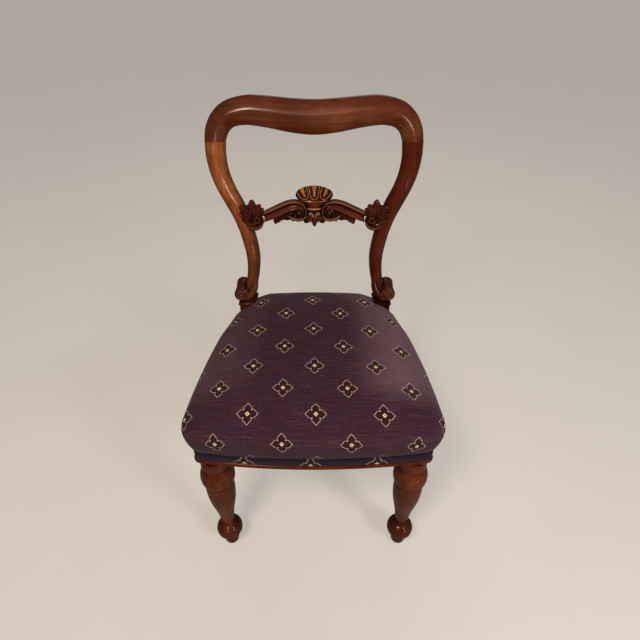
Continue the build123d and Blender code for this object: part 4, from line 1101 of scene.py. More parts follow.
@dataclass
class LeafEar:
    """Carved leaf on each stile that takes the end of the mid rail."""

    root: tuple[float, float] = (130.7, 626)
    eye: tuple[float, float] = (122, 626.3)
    # Direction, length, width, forward place and forward turn of each lobe.
    lobes: tuple[tuple[float, float, float, float, float], ...] = (
        (14, 24, 11, 10, 9),
        (29, 30, 14, 10, 9.5),
        (51, 38, 17, 9, 9.5),
        (69, 33, 13, 7, 6),
        (89, 42, 19, 8.5, 4),
        (117, 36, 18, 9, 3.5),
        (136, 33, 14, 7.5, 3),
        (150, 29, 12, 6, 2),
    )
    lip_centre: tuple[float, float] = (127.5, 626)
    lip_radius: float = 19

    def shape(self) -> Carver:
        """Mesh of the right ear."""
        carver = Carver()
        up = Vector((0, 0.19, 1))
        for angle, length, width, out, curl in self.lobes:
            carver.lobe(self.root, angle, length, width, out, 12.5, groove=3.4, curl=curl, point=0.12)
        # Long leaf that lies along the lip.
        carver.lobe((126, 613), 27, 32, 11, 9.5, 12.5, groove=2.6, curl=8.0)
        carver.lobe((118, 612), 20, 30, 9, 8.0, 12.5, groove=1.8, curl=4.0)
        # Rolled lip under the leaf.
        path, radii = [], []
        for step in range(25):
            share = step / 24
            angle = math.radians(196 + 136 * share)
            x = self.lip_centre[0] + self.lip_radius * math.cos(angle)
            z = self.lip_centre[1] + self.lip_radius * math.sin(angle)
            path.append(BACK.at(x, z, 16.5))
            radii.append(1.0 + 3.2 * math.sin(math.pi * share) ** 0.8)
        # The lip is a little paler: rubbed wood and a painted highlight.
        carver.patina_and_painted_light = 0.12
        carver.tube(path, radii, BACK.outward, flat=1.2)
        # The pad behind the leaves gets old polish and painted shade.
        carver.patina_and_painted_light = -0.7
        pad = BACK.at(128, 620, 3)
        carver.ball(pad, [Vector((20, 0, 0)), up * 17, BACK.outward * 13])
        # Small spiral beside the root, round its eye.
        path, radii = [], []
        for step in range(31):
            share = step / 30
            angle = math.radians(-20 - 400 * share)
            reach = 7.2 - 4.2 * share
            path.append(BACK.at(self.eye[0] + reach * math.cos(angle), self.eye[1] + reach * math.sin(angle), 20.5))
            radii.append(1.9 - 0.7 * share)
        # The spiral is a little paler: rubbed wood and a painted highlight.
        carver.patina_and_painted_light = 0.1
        carver.tube(path, radii, BACK.outward, flat=1.4)
        # The ground round the eye gets old polish and painted shade.
        carver.patina_and_painted_light = -0.7
        eye = BACK.at(*self.eye, 16)
        carver.ball(eye, [Vector((8, 0, 0)), up * 8, BACK.outward * 3.5])
        carver.ball(eye, [Vector((2.2, 0, 0)), up * 2.2, BACK.outward * 6])
        return carver

    def build(self, finish: Mahogany) -> list[bpy.types.Object]:
        """Both ears in place."""
        right = self.shape()
        left = right.mirror_copy()
        return [
            right.finish("leaf_ear_right", finish.material(), "polished_wood"),
            left.finish("leaf_ear_left", finish.material(), "polished_wood"),
        ]


@dataclass
class MidRail:
    """Carved mid rail: two C-scroll arms, leaves under them, a shell and a pendant."""

    volute: tuple[float, float] = (32, 638)
    # Half width and height of the arm's upper edge, and of its lower edge, from the ear inwards.
    arm: tuple[tuple[float, float, float, float], ...] = (
        (107, 640, 107, 618.5),
        (95, 645.5, 94, 622.5),
        (83, 651, 81, 627.5),
        (71, 656.5, 68, 633),
        (59, 661, 57, 638.5),
        (48, 663.3, 47, 642.5),
        (39, 663.3, 38, 645),
    )
    # Angle round the volute, and radius of the outer and of the inner edge.
    curl: tuple[tuple[float, float, float], ...] = (
        (90, 24, 7.2),
        (112, 21.8, 7.0),
        (135, 18.8, 6.8),
        (158, 16.6, 6.4),
        (180, 15.6, 6.0),
        (205, 15.2, 5.6),
        (230, 15.4, 5.2),
        (255, 15.6, 4.8),
        (280, 14.8, 4.4),
        (305, 13.2, 4.0),
        (335, 11.0, 3.4),
        (365, 9.0, 3.0),
    )
    # Share of the way from the upper to the lower edge, and height in front of the plane.
    front: tuple[tuple[float, float], ...] = (
        (0, 6.5),
        (0.035, 10.5),
        (0.1, 12.6),
        (0.18, 12.2),
        (0.25, 9.8),
        (0.33, 7.2),
        (0.46, 6.0),
        (0.6, 6.6),
        (0.7, 8.6),
        (0.78, 11.0),
        (0.87, 11.8),
        (0.95, 10.2),
        (1, 6.5),
    )
    # Share of the same way, and wear with painted light: the channel gets painted shade, the rims rubbing and a painted
    # highlight.
    rubbing_and_shade: tuple[tuple[float, float], ...] = (
        (0, 0.1), (0.06, 0.4), (0.17, 0.3), (0.24, -0.85), (0.36, -0.85), (0.5, -0.15), (0.62, 0.05), (0.72, 0.1), (0.9, 0.0), (1, -0.7)
    )
    back: tuple[tuple[float, float], ...] = ((1, -8.5), (0.9, -10.6), (0.5, -11), (0.1, -10.6), (0, -8.5))
    shell_centre: tuple[float, float] = (0, 674.5)
    shell_half: tuple[float, float, float] = (39.5, 18.6, 14.5)
    # Raised rim of the middle flute, right half, and of the right flute, from the open end round.
    middle_rim: tuple[tuple[float, float], ...] = (
        (11.8, 699), (10.7, 691), (9.7, 685), (8.7, 678.5), (6.2, 671), (0, 667.4)
    )
    side_rim: tuple[tuple[float, float], ...] = (
        (18.6, 699), (16.2, 690), (14.1, 684), (12.7, 678), (14.0, 671.4), (20.6, 667.2), (28.6, 671), (38, 681.5)
    )
    # Foot and top of the tongue in each flute.
    middle_tongue: tuple[tuple[float, float], ...] = ((0, 674.5), (0, 697))
    side_tongue: tuple[tuple[float, float], ...] = ((20.2, 674.6), (29.5, 694))

    def arms(self) -> Carver:
        """Mesh of both arms with their volutes."""
        carver = Carver()
        cx, cz = self.volute
        stations = list(self.arm)
        for angle, outer, inner in self.curl:
            c, s = math.cos(math.radians(angle)), math.sin(math.radians(angle))
            stations.append((cx + outer * c, cz + outer * s, cx + inner * c, cz + inner * s))
        outlines = []
        section = [*flowing(self.front, 3), *self.back]
        for ox, oz, ix, iz in flowing(stations, 8):
            outline = [BACK.at(ox + (ix - ox) * share, oz + (iz - oz) * share, out) for share, out in section]
            outlines.append(outline)
        # Wear and painted light across the arm; its back gets painted shade.
        for ring in carver.swept(outlines):
            for vert, (share, out) in zip(ring, section):
                vert[carver.wear_and_painted_light] = blend_value(self.rubbing_and_shade, share) if out > 0 else -0.3
        # The eye, and the ground behind it that closes the volute.
        eye = BACK.at(cx, cz, 2)
        # The ground behind the eye gets old polish and painted shade, and the eye is paler with rubbing and a painted
        # highlight.
        carver.patina_and_painted_light = -0.8
        carver.ball(eye, [Vector((12.5, 0, 0)), Vector((0, 0.19, 1)) * 12.5, BACK.outward * 7])
        carver.patina_and_painted_light = 0.35
        carver.ball(eye, [Vector((3.4, 0, 0)), Vector((0, 0.19, 1)) * 3.4, BACK.outward * 10])
        # Tail of the rim, which hugs the underside of the volute and runs out along the leaf.
        tail = [(17, 631, 8), (23, 626.3, 10), (31, 624, 10.5), (40, 624.6, 10), (48, 627.5, 9), (55, 631, 7.5)]
        path = [BACK.at(x, z, out) for x, z, out in flowing(tail, 5)]
        carver.patina_and_painted_light = 0.25
        carver.tube(path, [1.2 + 2.2 * math.sin(math.pi * i / (len(path) - 1)) for i in range(len(path))], BACK.outward)
        # The ground between the arm and the leaves gets old polish and painted shade.
        carver.patina_and_painted_light = -0.85
        # Ground between the arm and the leaves: half width, lower and upper height.
        ground = [(12, 627, 646), (22, 622, 650), (33, 620.5, 650), (46, 621, 648), (58, 622.5, 643), (68, 625, 638), (77, 628.5, 633)]
        outlines = []
        for x, low, high in flowing(ground, 3):
            outlines.append([BACK.at(x, z, out) for z, out in ((low, -8), (high, -8), (high, 1), (low + 1.5, 0.5), (low, -1.5))])
        carver.swept(outlines)
        carver.patina_and_painted_light = -0.3
        self.leaves(carver)
        both = carver.mirror_copy()
        self.join(carver, both)
        return carver

    def leaves(self, carver: Carver) -> None:
        """Adds the leaf carving and the pointed drop under the right arm."""
        for x, z, angle, length, width in (
            (40, 634, -62, 17, 11),
            (48, 637, -48, 20, 11),
            (57, 636.5, -40, 21, 11),
            (66, 633.5, -34, 20, 10),
            (46, 628, -12, 20, 9),
            (60, 627, -8, 22, 9),
            (72, 629, -58, 15, 10),
        ):
            carver.lobe((x, z), angle, length, width, 1.0, 8.0, groove=1.8, curl=1.5)
        carver.lobe((79, 630), -72, 19, 12, 0, 7.0, groove=1.2, curl=0.5, point=0.75)
        carver.lobe((86, 624), -108, 11, 8, 0, 6.0, groove=0.8, curl=0.5)
        ground = BACK.at(61, 632, -2)
        carver.ball(ground, [Vector((24, 0, -9)), Vector((1.5, 0.7, 6)), BACK.outward * 7])

    def join(self, carver: Carver, other: Carver) -> None:
        """Adds another carver's mesh to the first."""
        spare = bpy.data.meshes.new("spare")
        other.bm.to_mesh(spare)
        other.bm.free()
        carver.bm.from_mesh(spare)
        bpy.data.meshes.remove(spare)

    def dome(self, x: float, z: float) -> float:
        """Height of the shell's uncarved front in front of the plane."""
        dx = (x - self.shell_centre[0]) / self.shell_half[0]
        dz = (z - self.shell_centre[1]) / self.shell_half[1]
        return self.shell_half[2] * math.sqrt(max(1 - math.hypot(dx, dz) ** 3, 0))

    def away(self, x: float, z: float, line: Sequence[Sequence[float]]) -> tuple[float, float]:
        """Distance of a place from a line, and the share of the line's points that it lies along."""
        best, along = 1e9, 0.0
        for i, (start, end) in enumerate(zip(line, line[1:])):
            ax, az, bx, bz = start[0], start[1], end[0] - start[0], end[1] - start[1]
            t = max(0.0, min(1.0, ((x - ax) * bx + (z - az) * bz) / (bx * bx + bz * bz)))
            gap = math.hypot(x - ax - bx * t, z - az - bz * t)
            if gap < best:
                best, along = gap, (i + t) / (len(line) - 1)
        return best, along

    def relief(self, x: float, z: float, rims: Sequence[Sequence[tuple[float, ...]]]) -> float:
        """How far the carving of the shell stands over its dome, negative where it is cut in.

        Args:
            x: half width, to either side.
            z: height.
            rims: flowing lines of the middle and of the side flute's rim.

        Returns:
            The height of the carving.
        """
        x = abs(x)
        cut = 4.6 * max(0.0, min(1.0, (z - 661.5) / 4.5))
        rim = max(math.exp(-((self.away(x, z, line)[0] / 1.35) ** 4)) for line in rims)
        height = (cut + 0.6) * rim
        for line, foot, top in ((self.middle_tongue, 3.4, 6.6), (self.side_tongue, 3.2, 6.0)):
            gap, along = self.away(x, z, line)
            reach = foot + (top - foot) * along
            if gap < reach:
                height = max(height, (cut + 0.2) * math.sqrt(1 - (gap / reach) ** 2))
        return height - cut

    def shell(self) -> Carver:
        """Mesh of the fluted shell."""
        carver = Carver()
        up = Vector((0, 0.19, 1))
        body = BACK.at(*self.shell_centre)
        w, h, d = self.shell_half
        left = [(-x, z) for x, z in reversed(self.middle_rim[:-1])]
        rims = [flowing([*self.middle_rim, *left], 4), flowing(self.side_rim, 4)]
        made = carver.ball(body, [Vector((w, 0, 0)), up * h, BACK.outward * d], around=240, along=150)
        for vert in made:
            out = (vert.co - body).dot(BACK.outward)
            if out < 0:
                vert.co -= BACK.outward * out * 0.3
                continue
            x, z = vert.co.x, vert.co.z - out * BACK.outward.z
            share = min(1.0, out / 2)
            carved = self.relief(x, z, rims)
            vert.co = BACK.at(x, z, self.dome(x, z) + carved * share)
            # Painted shade in the cut-in channels and below the flutes, and a painted highlight on the raised rims and
            # tongues, with old polish and rubbing.
            low = blend_value(((657, 0.0), (664, 1.0)), z)
            vert[carver.wear_and_painted_light] = low * blend_value(((-3.6, -1.0), (-1.2, -0.1), (0.2, 0.35), (0.6, 0.75)), carved) + (low - 1)
        return carver

    def neck(self) -> Carver:
        """Mesh of the neck under the shell, and of the pendant."""
        carver = Carver()
        up = Vector((0, 0.19, 1))
        # The skirt gets old polish and painted shade.
        carver.patina_and_painted_light = -0.55
        # Skirt under the flutes, drawn in to the neck.
        skirt = [
            (672, 33, 9), (666, 30.5, 9.4), (660, 26, 9.8), (654, 20.5, 9.6), (648, 16, 9), (640, 14.5, 8.6), (630, 15, 8)
        ]
        outlines = []
        for z, half, depth in flowing(skirt, 3):
            ring = [2 * math.pi * k / 36 for k in range(36)]
            outlines.append([BACK.at(half * math.cos(a), z, -1 + depth * math.sin(a)) for a in ring])
        carver.swept(outlines)
        # Web behind the neck that takes both volutes.
        carver.ball(BACK.at(0, 645, -5), [Vector((25, 0, 0)), up * 22, BACK.outward * 4.5])
        # Upright band on the skirt, the oval collar, and the pendant with its beads and lobes.
        band = [(668, 8.9), (662, 8.7), (656, 8.4), (650, 8.2), (647, 8.2)]
        outlines = []
        for z, half in band:
            ring = [(half, 3), (half, 9.2), (half - 0.9, 10.2), (0.9 - half, 10.2), (-half, 9.2), (-half, 3)]
            outlines.append([BACK.at(x, z, out) for x, out in ring])
        carver.patina_and_painted_light = 0.0
        carver.swept(outlines)
        # The collar gets a painted highlight.
        carver.patina_and_painted_light = 1.0
        carver.ball(BACK.at(0, 646.6, 3), [Vector((15, 0, 0)), up * 2.9, BACK.outward * 12], around=32, along=16)
        carver.patina_and_painted_light = -0.2
        carver.lobe((0, 641), -90, 33, 14, 2.5, 9.5, groove=0.0, curl=1.5, point=0.3)
        for side in (-1, 1):
            bead = [(2.6, 630), (4.2, 634), (6.8, 637.6), (9.4, 637.8), (10.2, 635)]
            path = [BACK.at(side * x, z, 10.5) for x, z in flowing(bead, 3)]
            # The beads get a painted highlight, and rubbing.
            carver.patina_and_painted_light = 0.5
            carver.tube(path, [2.2 + 0.9 * math.sin(math.pi * i / (len(path) - 1)) for i in range(len(path))], BACK.outward)
            carver.patina_and_painted_light = 0.1
            carver.lobe((side * 5.5, 637), -90 + side * 9, 21, 6, 4, 8, groove=1.2, curl=0.5)
            carver.lobe((side * 10, 637), -90 + side * 14, 20, 8, 0.5, 8.5, groove=1.6, curl=0.5)
            # The side lobes get old polish and painted shade.
            carver.patina_and_painted_light = -0.8
            carver.ball(BACK.at(side * 17, 622, -1), [Vector((7.8, 0, 0)), up * 8, BACK.outward * 8.5])
        return carver

    def build(self, finish: Mahogany, shell_finish: Mahogany) -> list[bpy.types.Object]:
        """The carved rail in place.

        Args:
            finish: polish of the arms.
            shell_finish: polish of the shell.

        Returns:
            The arms, the shell and the neck.
        """
        arms = self.arms().finish("carved_arms", finish.material(), "polished_wood")
        shell = self.shell().finish("carved_shell", shell_finish.material(), "polished_wood")
        neck = self.neck().finish("carved_neck", finish.material(), "polished_wood")
        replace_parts(arms, "mid_rail")
        return [arms, shell, neck]


# ---------------------------------------------------------------- seat frame


@dataclass(frozen=True)
class SeatPlan:
    """Plan of the seat frame: four arcs with rounded corners, and how they grow outwards."""

    front_half: float = 217
    front_y: float = -218
    front_bow: float = 15
    side_bow: float = 14
    back_half: float = 163
    back_y: float = 175
    back_bow: float = 12
    frame_radii: tuple[float, float] = (6, 0.5)
    middle_y: float = -21.5
    per_front: int = 14
    per_corner: int = 8
    per_side: int = 18
    per_back: int = 10

    def outline(
        self,
        z: float,
        grows: Sequence[float],
        radii: Sequence[float],
        share: float = 1.0,
    ) -> list[Vector]:
        """Closed outline at one height, counted from the middle of the front to the right.

        Args:
            z: height.
            grows: growth past the frame at the front, sides, back, and sides at the back.
            radii: radius of the front and of the back corners.
            share: scale about the middle of the seat.

        Returns:
            Points of the outline.
        """
        front, side, back, rear_side = grows
        fx, fy = self.front_half + side, self.front_y - front
        bx, by = self.back_half + rear_side, self.back_y + back
        front_arc = self.arc((-fx, fy), (0, fy - self.front_bow), (fx, fy))
        side_arc = self.arc((fx, fy), ((fx + bx) / 2 + self.side_bow, (fy + by) / 2), (bx, by))
        back_arc = self.arc((bx, by), (0, by + self.back_bow), (-bx, by))
        right = self.run(front_arc, 0.5, self.trim(front_arc, side_arc, radii[0])[0], self.per_front)
        right += self.corner(front_arc, side_arc, radii[0])
        low = self.trim(front_arc, side_arc, radii[0])[1]
        high = self.trim(side_arc, back_arc, radii[1])[0]
        right += self.run(side_arc, low, high, self.per_side)
        right += self.corner(side_arc, back_arc, radii[1])
        right += self.run(back_arc, self.trim(side_arc, back_arc, radii[1])[1], 0.5, self.per_back)
        right.append(back_arc(0.5))
        loop = right + [Vector((-p.x, p.y)) for p in reversed(right[1:-1])]
        return [Vector((p.x * share, self.middle_y + (p.y - self.middle_y) * share, z)) for p in loop]

    def arc(
        self, start: tuple[float, float], middle: tuple[float, float], end: tuple[float, float]
    ) -> Callable[[float], Vector]:
        """Shallow arc through three points, as a function of the share of its way."""
        a, m, b = Vector(start), Vector(middle), Vector(end)
        control = m * 2 - (a + b) / 2
        return lambda t: a * (1 - t) ** 2 + control * 2 * t * (1 - t) + b * t**2

    def trim(
        self, first: Callable[[float], Vector], second: Callable[[float], Vector], radius: float
    ) -> tuple[float, float]:
        """Shares of two arcs at which the rounded corner between them starts and ends."""
        come = (first(1) - first(0.97)).normalized()
        leave = (second(0.03) - second(0)).normalized()
        turn = math.acos(max(-1, min(1, come.dot(leave))))
        reach = radius * math.tan(turn / 2)
        first_length = (first(1) - first(0)).length
        second_length = (second(1) - second(0)).length
        return 1 - reach / first_length, reach / second_length

    def run(self, arc: Callable[[float], Vector], low: float, high: float, count: int) -> list[Vector]:
        """Points along part of an arc, its end left out."""
        return [arc(low + (high - low) * i / count) for i in range(count)]

    def corner(
        self, first: Callable[[float], Vector], second: Callable[[float], Vector], radius: float
    ) -> list[Vector]:
        """Points round the corner between two arcs, its end left out."""
        low, high = self.trim(first, second, radius)
        start, peak, end = first(low), first(1), second(high)
        come, leave = (peak - start).normalized(), (end - peak).normalized()
        weight = math.cos(math.acos(max(-1, min(1, come.dot(leave)))) / 2)
        points = []
        for i in range(self.per_corner):
            t = i / self.per_corner
            a, b, c = (1 - t) ** 2, 2 * t * (1 - t) * weight, t**2
            points.append((start * a + peak * b + end * c) / (a + b + c))
        return points

    def front_face(self, x: float) -> float:
        """Depth of the frame's front face."""
        return self.front_y - self.front_bow * (1 - (x / self.front_half) ** 2)

    def back_face(self, x: float) -> float:
        """Depth of the frame's back face."""
        return self.back_y + self.back_bow * (1 - (x / self.back_half) ** 2)

    def side_face(self, y: float) -> float:
        """Half width of the frame's side face."""
        share = (y - self.front_y) / (self.back_y - self.front_y)
        chord = self.front_half + (self.back_half - self.front_half) * share
        return chord + 4 * self.side_bow * share * (1 - share)


PLAN = SeatPlan()


@dataclass
class FrontLeg:
    """Turned front leg with its square block, as built on the right."""

    axis: tuple[float, float] = (193, -199)
    block: float = 48
    block_bottom: float = 320
    block_top: float = 399.5
    # Runs of radius and height; a new run starts with a sharp edge.
    runs: tuple[tuple[tuple[float, float], ...], ...] = (
        ((12.4, 0), (14.0, 1.2), (16.0, 8), (16.6, 16), (16.2, 24), (15.4, 31), (15.0, 35.6)),
        ((18.4, 37.0), (23.6, 40.6), (27.4, 46.6), (28.4, 53.4), (27.8, 59.6), (26.0, 64.4)),
        ((25.0, 64.6), (23.2, 68.4), (20.4, 70.8)),
        ((19.6, 70.9), (18.2, 72.8), (15.2, 74.6)),
        ((14.2, 77), (13.8, 81), (14.3, 92), (16.2, 111.5), (19.2, 134.5), (23.8, 159), (27.6, 184), (29.4, 210), (29.2, 228), (28.4, 238)),
        ((26.8, 240), (27.2, 241.6)),
        ((30.6, 244), (33.2, 251), (34.2, 261), (33.6, 270), (31.0, 281), (27.6, 288.4), (25.0, 291.6), (24.2, 292.6)),
        ((24.6, 293.8), (26.6, 297), (27.5, 304), (27.1, 311), (25.6, 316.5), (24.2, 319.4), (23.6, 320.5)),
    )

    def shape(self) -> Carver:
        """Mesh of the right leg."""
        carver = Carver()
        bm = carver.bm
        x, y = self.axis
        profile = [point for run in self.runs for point in flowing(run, 3)]
        points = [(0.0, 0.0), *profile, (0.0, 320.5)]
        verts = [bmesh.ops.create_vert(bm, co=(x + r, y, z))["vert"][0] for r, z in points]
        edges = [bm.edges.new(pair) for pair in zip(verts, verts[1:])]
        bmesh.ops.spin(
            bm,
            geom=[*verts, *edges],
            cent=(x, y, 0),
            axis=(0, 0, 1),
            angle=2 * math.pi,
            steps=64,
            use_merge=True,
        )
        self.head(carver)
        return carver

    def head(self, carver: Carver) -> None:
        """Adds the square block, fitted to the bows of the frame."""
        bm = carver.bm
        inner_x = self.axis[0] - self.block / 2
        back_y = self.axis[1] + self.block / 2
        plan = {
            (-1, -1): (inner_x, PLAN.front_face(inner_x)),
            (1, -1): (PLAN.front_half, PLAN.front_y),
            (-1, 1): (inner_x, back_y),
            (1, 1): (PLAN.side_face(back_y), back_y),
        }
        made = bmesh.ops.create_cube(bm, size=2)["verts"]
        corner = []
        for vert in made:
            px, py = plan[(round(vert.co.x), round(vert.co.y))]
            if round(vert.co.x) == 1 and round(vert.co.y) == -1:
                corner.append(vert)
            vert.co = Vector((px, py, self.block_top if vert.co.z > 0 else self.block_bottom))
        upright = [bm.edges.get(corner)]
        bmesh.ops.bevel(bm, geom=upright, offset=6, segments=5, affect="EDGES", profile=0.5, material=-1)
        rim = [
            edge
            for edge in bm.edges
            if all(abs(v.co.z - self.block_bottom) < 0.01 and v.co.x > 0 for v in edge.verts)
            and len(edge.link_faces) == 2
            and edge.calc_face_angle(0) > 1.2
            and any((v.co.xy - Vector(self.axis)).length > 23 for v in edge.verts)
        ]
        bmesh.ops.bevel(bm, geom=rim, offset=1.5, segments=2, affect="EDGES", profile=0.5, material=-1)

    def build(self, finish: Mahogany) -> list[bpy.types.Object]:
        """Both front legs in place."""
        right = self.shape()
        left = right.mirror_copy()
        pieces = [
            right.finish("front_leg_right", finish.material(), "polished_wood"),
            left.finish("front_leg_left", finish.material(), "polished_wood"),
        ]
        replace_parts(pieces[0], "front_right_leg")
        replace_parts(pieces[1], "front_left_leg")
        return pieces


@dataclass
class ShowWood:
    """Thin rounded strip of show wood along the bottom of the front and side rails."""

    bottom: float = 335
    height: float = 9
    thickness: float = 7
    end_y: float = 133

    def build(self, finish: Mahogany) -> list[bpy.types.Object]:
        """The three strips in place."""
        loop = PLAN.outline(0, (0, 0, 0, 0), PLAN.frame_radii)
        count = len(loop)
        corner = PLAN.per_front + PLAN.per_corner // 2
        material = finish.material()
        front = [loop[i % count] for i in range(-corner, corner + 1)]
        side = [p for p in loop[corner : count // 2] if p.y < self.end_y - 4]
        side.append(Vector((PLAN.side_face(self.end_y - 0.2), self.end_y - 0.2, 0)))
        strips = [self.strip(front, material, "show_wood_front", "front_strip")]
        strips.append(self.strip(side, material, "show_wood_right", "right_strip"))
        mirrored = [Vector((-p.x, p.y, 0)) for p in reversed(side)]
        strips.append(self.strip(mirrored, material, "show_wood_left", "left_strip"))
        return strips

    def strip(
        self, path: Sequence[Vector], material: bpy.types.Material, name: str, node: str
    ) -> bpy.types.Object:
        """One strip along a path.

        Args:
            path: points on the frame's outer face, counter-clockwise seen from above.
            material: its finish.
            name: the piece's name.
            node: the CAD node that it stands for.

        Returns:
            The piece.
        """
        t, h = self.thickness, self.height
        # Distance from the frame, and height above the bottom, of the rounded section.
        section = [(0.1, 0), (t - 1.6, 0), (t - 0.4, 0.7), (t, 2.6), (t, h - 2.8), (t - 0.5, h - 0.9), (t - 1.8, h), (0.1, h)]
        outlines = []
        for i, place in enumerate(path):
            along = (path[min(i + 1, len(path) - 1)] - path[max(i - 1, 0)]).normalized()
            normal = Vector((along.y, -along.x, 0))
            outlines.append([place + normal * out + Vector((0, 0, self.bottom + up)) for out, up in section])
        carver = Carver()
        carver.swept(outlines)
        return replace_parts(carver.finish(name, material, "polished_wood", crease=50), node)


# ---------------------------------------------------------------- upholstery


@dataclass
class SeatForm:
    """Crowned seat form: how the layers of upholstery rise over the frame."""

    overhangs: tuple[float, float, float, float] = (11, 27, 9, 8)
    corner_radii: tuple[float, float] = (46, 70)
    foot_radii: tuple[float, float] = (8, 17)
    crease_grow: float = 1.2
    crease_z: float = 360.2
    widest_z: float = 400.3
    roll: float = 40
    roll_power: float = 10
    dome: float = 20
    corner_fall: float = -12
    back_rise: float = 3
    sides: tuple[tuple[float, float], ...] = (
        (0, 0),
        (0.08, 0.13),
        (0.18, 0.29),
        (0.3, 0.46),
        (0.45, 0.64),
        (0.6, 0.79),
        (0.8, 0.94),
    )
    shares: tuple[float, ...] = (
        1, 0.998, 0.993, 0.985, 0.972, 0.955, 0.93, 0.9, 0.86, 0.81, 0.75,
        0.68, 0.61, 0.54, 0.47, 0.4, 0.33, 0.26, 0.19, 0.12, 0.05,
    )

    def crown(self, bottom: float, roll: float, shrink: float, dome: float | None = None) -> list[list[Vector]]:
        """Rings of the crown from its widest level up.

        Args:
            bottom: height of the widest level.
            roll: height of the rounded edge.
            shrink: how far the layer lies inside the cover.
            dome: further rise of the top.

        Returns:
            The rings.
        """
        rise = self.dome if dome is None else dome
        grows = [value - shrink for value in self.overhangs]
        radii = [value - shrink for value in self.corner_radii]
        rings = []
        for share in self.shares:
            z = bottom + roll * math.sqrt(max(1 - share**self.roll_power, 0)) + rise * (1 - share**2)
            ring = PLAN.outline(z, grows, radii, share)
            for point in ring:
                point.z += self.lift(point.x, point.y) * min(1.0, (z - bottom) / 20)
            rings.append(ring)
        return rings

    def lift(self, x: float, y: float) -> float:
        """How far the stuffing rises or falls at a place of the top: packed flat beside the posts."""
        aside = blend_value(((105, 0), (135, 0.5), (165, 1)), abs(x))
        behind = blend_value(((40, 0), (80, 0.55), (115, 1)), y)
        return self.corner_fall * aside * behind + self.back_rise * (1 - aside) * behind

    def side_rings(self, shrink: float) -> list[list[Vector]]:
        """Rings of the side below the widest level."""
        rings = []
        bottom = self.crease_z + shrink
        for rise, swell in self.sides:
            grows = [self.crease_grow + (value - self.crease_grow) * swell - shrink for value in self.overhangs]
            radii = [f + (c - f) * swell - shrink for f, c in zip(self.foot_radii, self.corner_radii)]
            rings.append(PLAN.outline(bottom + (self.widest_z - bottom) * rise, grows, radii))
        return rings

    def whole(self, shrink: float, less_dome: float = 0.0) -> list[list[Vector]]:
        """Rings of the whole form above the fabric band."""
        return self.side_rings(shrink) + self.crown(self.widest_z, self.roll - shrink, shrink, self.dome - less_dome)


